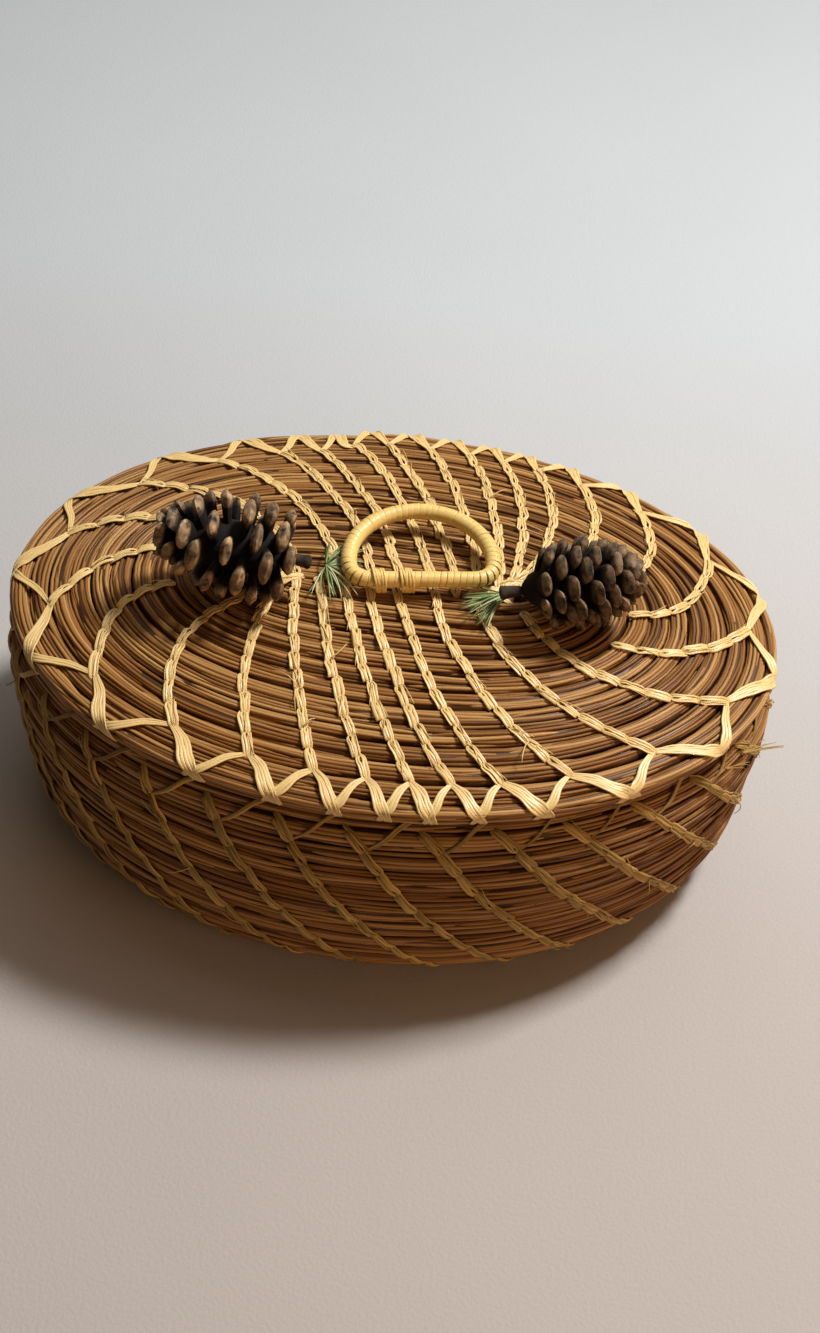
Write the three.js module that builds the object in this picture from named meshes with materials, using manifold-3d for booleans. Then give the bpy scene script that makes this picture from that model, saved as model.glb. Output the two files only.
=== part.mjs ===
// Oval coiled pine needle basket with a domed lid, in millimetres, +Z up, long side along X.
// The basket and the lid are each one unbroken coil of needle bundles, held row to row by
// raffia stitches that run outwards in slanting lines and end in a zigzag round the rim.
// The lid lifts off. A wrapped D handle swings in two raffia ties on top of it, between two
// small pine cones with sprigs of green needles.

import * as THREE from 'three';
import { mergeVertices } from 'three/addons/utils/BufferGeometryUtils.js';
import Module from 'manifold-3d';

const wasm = await Module();
wasm.setup();

// Coil rows
const coilPitch = 6.2;
const coilHeight = 5.6;
const rowGap = 0.8;
const seatGap = 0.3;
const footFlat = 0.56;

// Basket, to the middle of the floor's edge row and to the mouth's upper edge
const floorHalfLength = 101.5;
const floorHalfWidth = 73;
const floorRise = 1.5;
const bulgeHalfWidth = 84.3;
const bulgeHeight = 34;
const mouthHalfLength = 109;
const mouthHalfWidth = 73;
const mouthHeight = 68.6;

// Lid, to its outer edge
const lidOverhang = 6;
const lidHalfLength = mouthHalfLength + lidOverhang;
const lidHalfWidth = mouthHalfWidth + lidOverhang;
const lidRise = 9;
const ledgeClearance = 2;
const ledgeRows = 2;

// Raffia strands
const strandWidth = 3.6;
const strandThickness = 0.9;
const lidStrandGap = 0.5;
const wallStrandGap = 0.9;
const lidLines = 27;
const basketLines = 30;
const basketLineRows = 10;
const lidLineShift = -6.4;
const basketLineShift = 5.2;

// Handle
const handleWidth = 48;
const handleDepth = 33;
const handleRadius = 2.35;
const handleCoreRadius = 1;
const handleLift = 1;
const handleCorner = 7;
const handleX = 8;
const handleY = -2;
const handleTurn = THREE.MathUtils.degToRad(9);
const handleTilt = THREE.MathUtils.degToRad(3);
const wrapThickness = 0.6;
const wrapGap = 0.7;
const wrapTurns = 24;
const tieWidth = 4.5;
const tieLeft = 13;
const tieMiddle = 5;

// Pine cones
const coneStemRadius = 2.2;
const coneStemLength = 6;
const scaleThickness = 2.8;
const scaleWidth = 11.5;
const leftCone = {
  centreX: -51, centreY: -8, heading: THREE.MathUtils.degToRad(184),
  length: 41, radius: 16.5, scales: 28, lean: THREE.MathUtils.degToRad(20),
};
const rightCone = {
  centreX: 55, centreY: -5, heading: THREE.MathUtils.degToRad(8),
  length: 36, radius: 15.5, scales: 30, lean: THREE.MathUtils.degToRad(40),
};

// Sprigs
const sprigNeedles = 7;
const sprigLength = 13;
const sprigNeedleRadius = 0.6;
const sprigKnotRadius = 1.2;
const sprigBow = 1;
const leftSprig = {
  x: -21, y: 0.5, heading: THREE.MathUtils.degToRad(-5), spread: THREE.MathUtils.degToRad(180),
};
const rightSprig = {
  x: 32.5, y: -2, heading: THREE.MathUtils.degToRad(220), spread: THREE.MathUtils.degToRad(50),
};

// Materials
const needleFinish = { color: 0x73502f, roughness: 0.7 };
const raffiaFinish = { color: 0xe0b96e, roughness: 0.6 };
const handleFinish = { color: 0xe2bc62, roughness: 0.5 };
const coneFinish = { color: 0x3a281c, roughness: 0.6 };
const sprigFinish = { color: 0x5c7a3e, roughness: 0.6 };

// Angles
const fullTurn = 2 * Math.PI;
const quarterTurn = Math.PI / 2;
const goldenAngle = Math.PI * (3 - Math.sqrt(5));
const rimLean = THREE.MathUtils.degToRad(60);
const coneTipLean = THREE.MathUtils.degToRad(75);
const coneTilt = THREE.MathUtils.degToRad(12);

// How the stitch lines stand closer together on the long sides of the oval, as waves round it
const lidLineWaves = [
  { count: 1, swing: THREE.MathUtils.degToRad(10), start: THREE.MathUtils.degToRad(101) },
  { count: 2, swing: THREE.MathUtils.degToRad(18), start: THREE.MathUtils.degToRad(-4) },
  { count: 3, swing: THREE.MathUtils.degToRad(3.5), start: THREE.MathUtils.degToRad(83) },
];
const basketLineWaves = [{ count: 2, swing: THREE.MathUtils.degToRad(3.5), start: 0 }];

// Shares of the sizes above
const centreRoundnessShare = 0.4;
const floorRoundnessShare = 0.85;
const lowerWallShare = 0.25;
const upperWallShare = 0.6;
const coilEndShare = 0.22;
const coilStartShare = 0.06;
const endHeightShare = 0.9;
const probeShare = 0.0005;
const nearRowShare = 0.4;
const lidLineStartShare = -0.39;
const basketLineStartShare = 0.7;
const lidShiftShare = 1.5;
const endLineShare = 0.8;
const endStartShare = 0.35;
const reachShare = 0.25;
const wrapGapShare = 0.2;
const coneBaseShare = 0.12;
const coneTipShare = 0.93;
const coneCoreShare = 0.4;
const coneCoreEndShare = 0.9;
const coneScaleEndShare = 0.86;
const scaleRootShare = 0.3;
const scaleTipShare = 0.45;
const sprigShortShare = 0.3;

// Facets
const coilSides = 6;
const coneSides = 8;
const tieSteps = 3;
const loopSteps = 18;
const centreLoops = 3;
const wrapSteps = 6;
const lidLineStep = 3;
const lineSteps = 24;
const settleSteps = 12;
const settleReach = 20;
const mergeDistance = 1e-5;

// The lid rests on the mouth's row, inside its own rim.
const lidRimHeight = mouthHeight + coilHeight + seatGap
  - lidRise * (1 - (mouthHalfWidth / lidHalfWidth) ** 2);

// Point of a row: an oval of the given half length and half width. Its roundness goes from
// flat-sided at the centre of a coil to nearly an ellipse at the rim.
function ovalPoint(halfLength, halfWidth, roundness, angle) {
  const cosine = Math.cos(angle);
  const reach = Math.sign(cosine) * Math.abs(cosine) ** roundness;
  return new THREE.Vector2(
    (halfLength - halfWidth) * reach + halfWidth * cosine, halfWidth * Math.sin(angle));
}

// A coil's surface, from its centre (share 0) to the outer edge of its last row (share 1).
function basketSurface() {
  const floorHeight = coilHeight / 2 - footFlat;
  const profile = new THREE.Path();
  profile.moveTo(0, floorHeight + floorRise);
  profile.lineTo(floorHalfWidth, floorHeight);
  profile.quadraticCurveTo(
    bulgeHalfWidth, THREE.MathUtils.lerp(floorHeight, bulgeHeight, lowerWallShare),
    bulgeHalfWidth, bulgeHeight);
  profile.quadraticCurveTo(
    bulgeHalfWidth, THREE.MathUtils.lerp(bulgeHeight, mouthHeight, upperWallShare),
    mouthHalfWidth, mouthHeight);
  const floorCore = floorHalfLength - floorHalfWidth;
  const mouthCore = mouthHalfLength - mouthHalfWidth;
  return {
    width: profile.getLength(),
    at(share) {
      const { x, y } = profile.getPointAt(THREE.MathUtils.clamp(share, 0, 1));
      const climb = THREE.MathUtils.smoothstep(y, bulgeHeight, mouthHeight);
      const onWall = THREE.MathUtils.clamp((y - floorHeight) / (bulgeHeight - floorHeight), 0, 1);
      const spread = Math.min(x / floorHalfWidth, 1);
      const roundness = spread < 1 && climb === 0
        ? THREE.MathUtils.lerp(centreRoundnessShare, floorRoundnessShare, spread)
        : THREE.MathUtils.lerp(floorRoundnessShare, 1, onWall);
      return {
        core: THREE.MathUtils.lerp(floorCore, mouthCore, climb), halfWidth: x, height: y, roundness,
      };
    },
  };
}

function lidSurface() {
  const profile = new THREE.Path();
  profile.moveTo(0, lidHeight(0));
  profile.quadraticCurveTo(lidHalfWidth / 2, lidHeight(0), lidHalfWidth, lidHeight(1));
  return {
    width: profile.getLength(),
    at(share) {
      const { x, y } = profile.getPointAt(THREE.MathUtils.clamp(share, 0, 1));
      const roundness = THREE.MathUtils.lerp(centreRoundnessShare, 1, x / lidHalfWidth);
      return { core: lidHalfLength - lidHalfWidth, halfWidth: x, height: y, roundness };
    },
  };
}

function surfacePoint(surface, share, angle) {
  const { core, halfWidth, height, roundness } = surface.at(share);
  const oval = ovalPoint(core + halfWidth, halfWidth, roundness, angle);
  return new THREE.Vector3(oval.x, oval.y, height);
}

// Height of the middle of the lid's rows, by their share of its half width.
function lidHeight(share) {
  return lidRimHeight + lidRise * (1 - share * share);
}

// A spiral coil on a surface. Turns count from its centre. Over the last turn the bundle
// thins out below a level rim, as a maker runs out the last row.
function makeCoil(surface) {
  const rows = Math.round(surface.width / coilPitch);
  const end = rows + 1 / 2 - coilEndShare;
  function place(turn) {
    const fill = Math.min(1, rows + 1 / 2 - turn);
    const centre = fill < 1 ? (turn - 1 / 2 + rows) / 2 : turn;
    return { fill, share: centre / rows };
  }
  function frame(turn) {
    const { fill, share } = place(turn);
    const angle = turn * fullTurn;
    const point = surfacePoint(surface, share, angle);
    const [before, after] = [-probeShare, probeShare].map((step) => surfacePoint(
      surface, place(turn + step).share, angle + step * fullTurn));
    const along = after.sub(before).normalize();
    const inner = Math.min(Math.max(share - probeShare, 0), 1 - 2 * probeShare);
    const across = surfacePoint(surface, inner + 2 * probeShare, angle)
      .sub(surfacePoint(surface, inner, angle));
    const up = new THREE.Vector3().crossVectors(across, along).normalize();
    const side = new THREE.Vector3().crossVectors(along, up).normalize();
    const room = Math.abs(across.dot(side)) / (2 * probeShare * rows);
    return {
      point, along, up, side,
      halfWidth: (room * fill - rowGap) / 2,
      halfHeight: coilHeight / 2 * THREE.MathUtils.lerp(endHeightShare, 1, fill),
    };
  }
  return { rows, start: coilStartShare, end, coarseLoops: centreLoops, frame };
}

// Turns at which a coil has its sections: half as many on its small inner loops.
function coilStops(coil) {
  const stops = [coil.start];
  for (let step = 1; step / loopSteps < coil.end; step++) {
    const turn = step / loopSteps;
    if (turn > coil.start && (turn > coil.coarseLoops || step % 2 === 0)) stops.push(turn);
  }
  stops.push(coil.end);
  return stops;
}

// A closed tube or, with no ends, a closed ring through the given frames, each with its own
// half width and half height. The section is a polygon whose first corner stands at firstCorner.
function sweep(frames, sides, firstCorner, ring = false) {
  const corners = [];
  for (const { point, up, side, halfWidth, halfHeight } of frames) {
    for (let corner = 0; corner < sides; corner++) {
      const angle = firstCorner + corner / sides * fullTurn;
      corners.push(point.clone()
        .addScaledVector(side, halfWidth * Math.cos(angle))
        .addScaledVector(up, halfHeight * Math.sin(angle)));
    }
  }
  const triangles = [];
  const spans = ring ? frames.length : frames.length - 1;
  for (let span = 0; span < spans; span++) {
    for (let corner = 0; corner < sides; corner++) {
      const next = (corner + 1) % sides;
      const near = span * sides;
      const far = (span + 1) % frames.length * sides;
      triangles.push(near + corner, far + corner, near + next);
      triangles.push(near + next, far + corner, far + next);
    }
  }
  if (!ring) {
    const last = spans * sides;
    for (let corner = 1; corner < sides - 1; corner++) {
      triangles.push(0, corner, corner + 1, last, last + corner + 1, last + corner);
    }
  }
  return meshFrom(corners, triangles);
}

function meshFrom(corners, triangles) {
  const geometry = new THREE.BufferGeometry();
  geometry.setAttribute('position', new THREE.Float32BufferAttribute(
    corners.flatMap((corner) => corner.toArray()), 3));
  geometry.setIndex(triangles);
  return geometry;
}

// Solids that are joined and cut.
function solidFrom(geometry) {
  const bare = geometry.clone();
  bare.deleteAttribute('normal');
  bare.deleteAttribute('uv');
  const merged = mergeVertices(bare, mergeDistance);
  return new wasm.Manifold(new wasm.Mesh({
    numProp: 3,
    vertProperties: new Float32Array(merged.attributes.position.array),
    triVerts: new Uint32Array(merged.index.array),
  }));
}

function geometryFrom(solid) {
  const { numProp, vertProperties, triVerts } = solid.getMesh();
  const geometry = new THREE.BufferGeometry();
  const position = new Float32Array(vertProperties.length / numProp * 3);
  for (let i = 0; i < position.length; i++) {
    position[i] = vertProperties[Math.floor(i / 3) * numProp + i % 3];
  }
  geometry.setAttribute('position', new THREE.BufferAttribute(position, 3));
  geometry.setIndex(new THREE.BufferAttribute(new Uint32Array(triVerts), 1));
  return geometry;
}

// The outer shell of overlapping pieces: pockets that they seal between them are filled.
function joined(geometries) {
  const shells = wasm.Manifold.union(geometries.map(solidFrom)).decompose();
  return shells.reduce((largest, shell) => (shell.volume() > largest.volume() ? shell : largest));
}

// The coils
function coilGeometry(coil) {
  const frames = coilStops(coil).map((turn) => coil.frame(turn));
  return sweep(frames, coilSides, quarterTurn);
}

// Least gap between the rows of a coil, from the side corners of each section to the side
// edges of the rows beside it.
function leastGap(coil) {
  const stops = coilStops(coil);
  const frames = stops.map((turn) => coil.frame(turn));
  const reach = Math.cos(Math.PI / coilSides);
  const edges = frames.map(({ point, side, halfWidth }) => [-reach, reach].map(
    (share) => point.clone().addScaledVector(side, share * halfWidth)));
  let least = Infinity;
  for (let i = 0; i < stops.length; i++) {
    for (let j = i + 1; j < stops.length - 1; j++) {
      const apart = stops[j] - stops[i];
      if (apart < nearRowShare || apart > 2 - nearRowShare) continue;
      for (const spot of edges[i]) {
        for (const edge of [0, 1]) {
          const line = new THREE.Line3(edges[j][edge], edges[j + 1][edge]);
          const near = line.closestPointToPoint(spot, true, new THREE.Vector3());
          least = Math.min(least, near.distanceTo(spot));
        }
      }
    }
  }
  return least;
}

function basketCoilGeometry(coil) {
  return geometryFrom(solidFrom(coilGeometry(coil)).trimByPlane([0, 0, 1], 0));
}

// The ledge that keeps the lid in place: stacked rows of one coil below the lid, inside the
// mouth. The bundle grows over its first turn and runs out over its last, so that the stack
// is level above and below.
function makeLedge() {
  const inset = coilHeight / 2 + seatGap + ledgeClearance;
  const halfLength = mouthHalfLength - inset;
  const halfWidth = mouthHalfWidth - inset;
  const top = lidHeight(halfWidth / lidHalfWidth) - coilHeight / 2 - seatGap;
  function frame(turn) {
    const angle = turn * fullTurn;
    const oval = ovalPoint(halfLength, halfWidth, 1, angle);
    const upper = Math.max(turn - 1, 0);
    const lower = Math.min(turn, ledgeRows);
    const along = new THREE.Vector3(
      -halfLength * Math.sin(angle), halfWidth * Math.cos(angle), 0).normalize();
    const up = new THREE.Vector3(0, 0, 1);
    return {
      point: new THREE.Vector3(oval.x, oval.y, top - coilPitch * (upper + lower) / 2),
      up, side: along.cross(up),
      halfWidth: coilHeight / 2,
      halfHeight: (coilPitch * (lower - upper) - rowGap) / 2,
    };
  }
  const end = ledgeRows + 1 - coilEndShare;
  return { rows: ledgeRows, start: coilEndShare, end, coarseLoops: 0, frame };
}

// Raffia
// A flat strand through crossing points, each given with the outward direction there. It is
// flat below and ridged above.
function strandGeometry(crossings) {
  const frames = crossings.map(({ point, out }, i) => {
    const before = crossings[Math.max(i - 1, 0)].point;
    const after = crossings[Math.min(i + 1, crossings.length - 1)].point;
    const along = after.clone().sub(before).normalize();
    const side = new THREE.Vector3().crossVectors(along, out).normalize();
    return {
      point, side, up: out,
      halfWidth: strandWidth / Math.sqrt(3),
      halfHeight: strandThickness * 2 / 3,
    };
  });
  return sweep(frames, 3, quarterTurn);
}

// Where a strand crosses a row: around the row's section by the given lean, from its crest
// towards its outer edge. The lid's strands lie on the side that its surface faces, and the
// basket's on the side behind it, further out because there they bend round the oval.
function crossing(coil, turn, face, lean = 0) {
  const { point, up, side, halfWidth, halfHeight } = coil.frame(Math.min(turn, coil.end));
  const rise = (face > 0 ? lidStrandGap : wallStrandGap) + strandThickness / 3;
  const out = up.clone().multiplyScalar(face * Math.cos(lean))
    .addScaledVector(side, Math.sin(lean)).normalize();
  const spot = point.clone()
    .addScaledVector(up, face * (halfHeight + rise) * Math.cos(lean))
    .addScaledVector(side, (halfWidth + rise) * Math.sin(lean));
  return { point: spot, out };
}

// The turn at which a row lies at an angle, given the row's number.
function turnAt(row, angle) {
  const share = THREE.MathUtils.euclideanModulo(angle / fullTurn, 1);
  return Math.floor(row) + share;
}

// The outermost row at an angle.
function rimTurn(coil, angle) {
  const turn = turnAt(coil.rows, angle);
  return turn > coil.end ? turn - 1 : turn;
}

// Angle of each stitch line where its rim strands leave it.
function lineAngles(count, startShare, waves) {
  return Array.from({ length: count }, (_, i) => {
    const even = (i + startShare) / count * fullTurn;
    return waves.reduce(
      (angle, wave) => angle + wave.swing * Math.sin(wave.count * even + wave.start), even);
  });
}

// The turns at which a line crosses its rows, from its outer end inwards. Each row's stitch
// stands square to the rows but for a shift along them, given for each turn.
function lineTurns(coil, outerTurn, firstRow, shiftAt) {
  const turns = [outerTurn];
  while (turns.at(-1) - 1 > firstRow) {
    const outer = turns.at(-1);
    const { point, along } = coil.frame(outer);
    const shift = shiftAt(outer);
    let low = outer - 1 - reachShare;
    let high = outer - 1 + reachShare;
    for (let step = 0; step < lineSteps; step++) {
      const middle = (low + high) / 2;
      const ahead = coil.frame(middle).point.sub(point).dot(along);
      if (ahead > shift) high = middle;
      else low = middle;
    }
    turns.push((low + high) / 2);
  }
  return turns;
}

// The lid's lines shift less on inner rows. Those at the ends of the oval start further out,
// where the rows have opened.
function lidStitching(coil) {
  const angles = lineAngles(lidLines, lidLineStartShare, lidLineWaves);
  const shiftAt = (turn) => lidLineShift * (turn / coil.rows) ** lidShiftShare;
  const pieces = [];
  angles.forEach((angle, i) => {
    const all = lineTurns(coil, rimTurn(coil, angle) - 2, 1, shiftAt);
    const stop = all.findIndex((turn) => turn < coil.rows * endStartShare
      && Math.abs(Math.cos(turn * fullTurn)) > endLineShare);
    const turns = stop < 0 ? all : all.slice(0, stop);
    const kept = turns.filter((_, step) => step % lidLineStep === 0 || step === turns.length - 1);
    pieces.push(strandGeometry(kept.reverse().map((turn) => crossing(coil, turn, 1))));
    pieces.push(...rimStrands(coil, angle, angles[(i + 1) % lidLines], 1));
  });
  return geometryFrom(joined(pieces));
}

// The two strands of the zigzag between one line and the next, over the rim between them.
function rimStrands(coil, from, to, face) {
  to = from + THREE.MathUtils.euclideanModulo(to - from, fullTurn);
  const low = (from + to) / 2;
  const legs = [from, to].map((angle) => {
    const leg = [crossing(coil, rimTurn(coil, angle) - 2, face)];
    if (face < 0) leg.push(crossing(coil, rimTurn(coil, (angle + low) / 2) - 1, face));
    return [...leg, crossing(coil, rimTurn(coil, low), face)];
  });
  legs[0].push(crossing(coil, rimTurn(coil, low), face, rimLean));
  return legs.map(strandGeometry);
}

function basketStitching(coil) {
  const angles = lineAngles(basketLines, basketLineStartShare, basketLineWaves);
  const pieces = [];
  angles.forEach((angle, i) => {
    const outerTurn = rimTurn(coil, angle) - 2;
    const turns = lineTurns(coil, outerTurn, coil.rows - basketLineRows, () => basketLineShift);
    pieces.push(strandGeometry(turns.reverse().map((turn) => crossing(coil, turn, -1))));
    pieces.push(...rimStrands(coil, angle, angles[(i + 1) % basketLines], -1));
  });
  return geometryFrom(joined(pieces));
}

// Height of the lid's rows and of the stitches on them at a place on the lid.
function lidCrest(x, y) {
  const core = lidHalfLength - lidHalfWidth;
  const spread = Math.hypot(Math.max(Math.abs(x) - core, 0), y) / lidHalfWidth;
  return lidHeight(Math.min(spread, 1)) + coilHeight / 2 + lidStrandGap + strandThickness;
}

// The D handle, in its own frame: bar along X through the origin, arc towards +Y.
function handlePath() {
  const half = handleWidth / 2 - handleRadius;
  const depth = handleDepth - 2 * handleRadius;
  const path = new THREE.Path();
  path.moveTo(0, 0);
  path.lineTo(half - handleCorner, 0);
  path.quadraticCurveTo(half, 0, half, handleCorner);
  path.absellipse(0, handleCorner, half, depth - handleCorner, 0, Math.PI, false);
  path.quadraticCurveTo(-half, 0, handleCorner - half, 0);
  path.lineTo(0, 0);
  return path;
}

function handleFrame(path, share) {
  const spot = path.getPointAt(share % 1);
  const heading = path.getTangentAt(share % 1);
  const along = new THREE.Vector3(heading.x, heading.y, 0);
  const up = new THREE.Vector3(0, 0, 1);
  return { point: new THREE.Vector3(spot.x, spot.y, 0), up, side: along.clone().cross(up) };
}

function handleCoreGeometry(path) {
  const steps = 2 * loopSteps;
  const frames = Array.from({ length: steps }, (_, i) => ({
    ...handleFrame(path, i / steps),
    halfWidth: handleCoreRadius, halfHeight: handleCoreRadius,
  }));
  return sweep(frames, coilSides, quarterTurn, true);
}

// The raffia wrap: one flat strip wound round the core, its ends side by side.
function handleWrapGeometry(path) {
  const radius = handleRadius - wrapThickness / 2;
  const turns = wrapTurns - wrapGapShare;
  const count = turns * wrapSteps;
  const pitch = path.getLength() / wrapTurns;
  const frames = [];
  for (let i = 0; i <= count; i++) {
    const turn = i / wrapSteps;
    const { point, up, side } = handleFrame(path, (turn + wrapGapShare / 2) / wrapTurns);
    const along = side.clone().cross(up).negate();
    const out = side.clone().multiplyScalar(Math.cos(turn * fullTurn))
      .addScaledVector(up, Math.sin(turn * fullTurn));
    frames.push({
      point: point.clone().addScaledVector(out, radius),
      up: out, side: along,
      halfWidth: (pitch - wrapGap) / 2 * Math.SQRT2,
      halfHeight: wrapThickness / 2 * Math.SQRT2,
    });
  }
  return sweep(frames, 4, quarterTurn / 2);
}

// A raffia tie: a strip bent over the bar, its legs down to the lid.
function tieGeometry(drop) {
  const inner = handleRadius + seatGap;
  const outer = inner + strandThickness;
  const strip = new THREE.Shape();
  strip.moveTo(outer, -drop);
  strip.lineTo(outer, 0);
  strip.absarc(0, 0, outer, 0, Math.PI, false);
  strip.lineTo(-outer, -drop);
  strip.lineTo(-inner, -drop);
  strip.lineTo(-inner, 0);
  strip.absarc(0, 0, inner, Math.PI, 0, true);
  strip.lineTo(inner, -drop);
  const tie = new THREE.ExtrudeGeometry(strip, {
    depth: tieWidth, bevelEnabled: false, curveSegments: tieSteps,
  });
  tie.translate(0, 0, -tieWidth / 2);
  tie.rotateX(quarterTurn);
  tie.rotateZ(quarterTurn);
  return tie;
}

// A cone lying along +X from its stem at the origin: a tapering core with wedge-shaped
// woody scales set round it by the golden angle.
function coneSolid(length, radius, scales, lean) {
  const reach = (share) => Math.sin(Math.PI * THREE.MathUtils.lerp(coneBaseShare, coneTipShare, share));
  const profile = [new THREE.Vector2(0, -coneStemLength)];
  profile.push(new THREE.Vector2(coneStemRadius, -coneStemLength));
  profile.push(new THREE.Vector2(coneStemRadius, 0));
  for (let i = 1; i < coilSides; i++) {
    const share = i / coilSides;
    profile.push(new THREE.Vector2(
      radius * coneCoreShare * reach(share), share * length * coneCoreEndShare));
  }
  profile.push(new THREE.Vector2(0, length * coneCoreEndShare));
  const core = new THREE.LatheGeometry(profile, coneSides);
  const pieces = [core];
  for (let i = 0; i < scales; i++) {
    const share = (i + 1 / 2) / scales;
    const turn = i * goldenAngle;
    const pitch = THREE.MathUtils.lerp(lean, coneTipLean, share ** 2);
    const height = share * length * coneScaleEndShare;
    pieces.push(scaleGeometry(radius, reach(share), height, turn, pitch));
  }
  return joined(pieces);
}

// One scale: narrow at the core, broad and thick at its outer end.
function scaleGeometry(radius, share, height, turn, lean) {
  const tip = radius * share;
  const root = tip * scaleRootShare;
  const wide = scaleWidth / 2 * THREE.MathUtils.lerp(scaleTipShare, 1, share);
  const thin = scaleThickness / 2;
  const rootWide = wide * scaleRootShare;
  const rootThin = thin * scaleRootShare;
  const local = [
    [root, -rootWide, -rootThin], [root, rootWide, -rootThin],
    [root, rootWide, rootThin], [root, -rootWide, rootThin],
    [tip, -wide, -thin * scaleTipShare], [tip, wide, -thin * scaleTipShare],
    [tip - thin, wide * scaleTipShare, thin], [tip - thin, -wide * scaleTipShare, thin],
  ];
  const outwards = new THREE.Vector3(Math.cos(turn), 0, Math.sin(turn));
  const axis = new THREE.Vector3(0, 1, 0);
  const along = outwards.clone().multiplyScalar(Math.cos(lean)).addScaledVector(axis, Math.sin(lean));
  const across = new THREE.Vector3().crossVectors(axis, outwards).normalize();
  const over = new THREE.Vector3().crossVectors(along, across).negate();
  const corners = local.map(([out, wideways, thick]) => axis.clone().multiplyScalar(height)
    .addScaledVector(along, out).addScaledVector(across, wideways).addScaledVector(over, -thick));
  const faces = [0, 2, 1, 0, 3, 2, 4, 5, 6, 4, 6, 7, 0, 1, 5, 0, 5, 4,
    1, 2, 6, 1, 6, 5, 2, 3, 7, 2, 7, 6, 3, 0, 4, 3, 4, 7];
  const geometry = meshFrom(corners, faces);
  return volumeOf(geometry) > 0 ? geometry : meshFrom(corners, faces.reverse());
}

function volumeOf(geometry) {
  const spots = geometry.attributes.position;
  const index = geometry.index.array;
  const corner = (i) => new THREE.Vector3().fromBufferAttribute(spots, index[i]);
  let volume = 0;
  for (let i = 0; i < index.length; i += 3) {
    volume += corner(i).dot(corner(i + 1).cross(corner(i + 2))) / 6;
  }
  return volume;
}

// A cone laid on the lid, stem towards the handle and a little down.
function placedCone({ centreX, centreY, heading, length, radius, scales, lean }) {
  return coneSolid(length, radius, scales, lean)
    .translate([0, -length / 2, 0])
    .rotate([coneTilt, 0, heading - quarterTurn].map(THREE.MathUtils.radToDeg))
    .translate([centreX, centreY, lidCrest(centreX, centreY) + length]);
}

// A piece let down until it lies just above what carries it.
function settled(solid, bed) {
  let lowered = solid;
  for (let step = 0; step < settleSteps; step++) {
    const gap = lowered.minGap(bed, settleReach);
    lowered = lowered.translate([0, 0, seatGap - gap]);
  }
  return geometryFrom(lowered);
}

// A sprig of needles fanning out from a knot.
function sprigSolid({ x: knotX, y: knotY, heading, spread }) {
  const height = lidCrest(knotX, knotY) + sprigLength;
  const knot = new THREE.IcosahedronGeometry(sprigKnotRadius, 0);
  knot.translate(knotX, knotY, height);
  const pieces = [knot];
  for (let i = 0; i < sprigNeedles; i++) {
    const share = i / (sprigNeedles - 1);
    const angle = heading + spread * (share - 1 / 2);
    const length = sprigLength * THREE.MathUtils.lerp(sprigShortShare, 1, Math.abs(2 * share - 1));
    const path = [0, 1 / 2, 1].map((step) => {
      const x = knotX + length * step * Math.cos(angle);
      const y = knotY + length * step * Math.sin(angle);
      const bow = sprigBow * Math.sin(Math.PI * step);
      return {
        point: new THREE.Vector3(x, y, height + bow + (i % 2) * sprigNeedleRadius * step),
        up: new THREE.Vector3(0, 0, 1),
        side: new THREE.Vector3(Math.sin(angle), -Math.cos(angle), 0),
        halfWidth: sprigNeedleRadius, halfHeight: sprigNeedleRadius,
      };
    });
    pieces.push(sweep(path, 3, quarterTurn));
  }
  return joined(pieces);
}

const part = new THREE.Group();

function add(name, geometry, finish) {
  const material = new THREE.MeshStandardMaterial({ ...finish, metalness: 0 });
  const mesh = new THREE.Mesh(geometry, material);
  mesh.name = name;
  part.add(mesh);
  return mesh;
}

const basketCoil = makeCoil(basketSurface());
const lidCoil = makeCoil(lidSurface());
const ledge = makeLedge();
for (const [name, coil] of [['basket', basketCoil], ['lid', lidCoil]]) {
  console.log(`${name} coil: ${coil.rows} rows, least gap ${leastGap(coil).toFixed(2)} mm`);
}

add('basket_coil', basketCoilGeometry(basketCoil), needleFinish);
add('basket_stitching', basketStitching(basketCoil), raffiaFinish);
const lidMesh = add('lid_coil', coilGeometry(lidCoil), needleFinish);
const lidStitches = add('lid_stitching', lidStitching(lidCoil), raffiaFinish);
add('lid_ledge_coil', coilGeometry(ledge), needleFinish);

const handleOutline = handlePath();
const barHeight = lidCrest(handleX, handleY) + handleLift + handleRadius;
for (const [name, geometry] of [
  ['handle_core', handleCoreGeometry(handleOutline)],
  ['handle_wrap', handleWrapGeometry(handleOutline)],
]) {
  const mesh = add(name, geometry, handleFinish);
  mesh.rotation.set(handleTilt, 0, handleTurn, 'ZYX');
  mesh.position.set(handleX, handleY, barHeight);
}
for (const [name, offset] of [['handle_tie_left', -tieLeft], ['handle_tie_middle', -tieMiddle]]) {
  const x = handleX + offset * Math.cos(handleTurn);
  const y = handleY + offset * Math.sin(handleTurn);
  const mesh = add(name, tieGeometry(handleRadius + handleLift + strandThickness), handleFinish);
  mesh.rotation.z = handleTurn;
  mesh.position.set(x, y, barHeight);
}

const lidTop = wasm.Manifold.union([lidMesh, lidStitches].map((mesh) => solidFrom(mesh.geometry)));
add('cone_left', settled(placedCone(leftCone), lidTop), coneFinish);
add('cone_right', settled(placedCone(rightCone), lidTop), coneFinish);
add('sprig_left', settled(sprigSolid(leftSprig), lidTop), sprigFinish);
add('sprig_right', settled(sprigSolid(rightSprig), lidTop), sprigFinish);

export default part;
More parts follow.
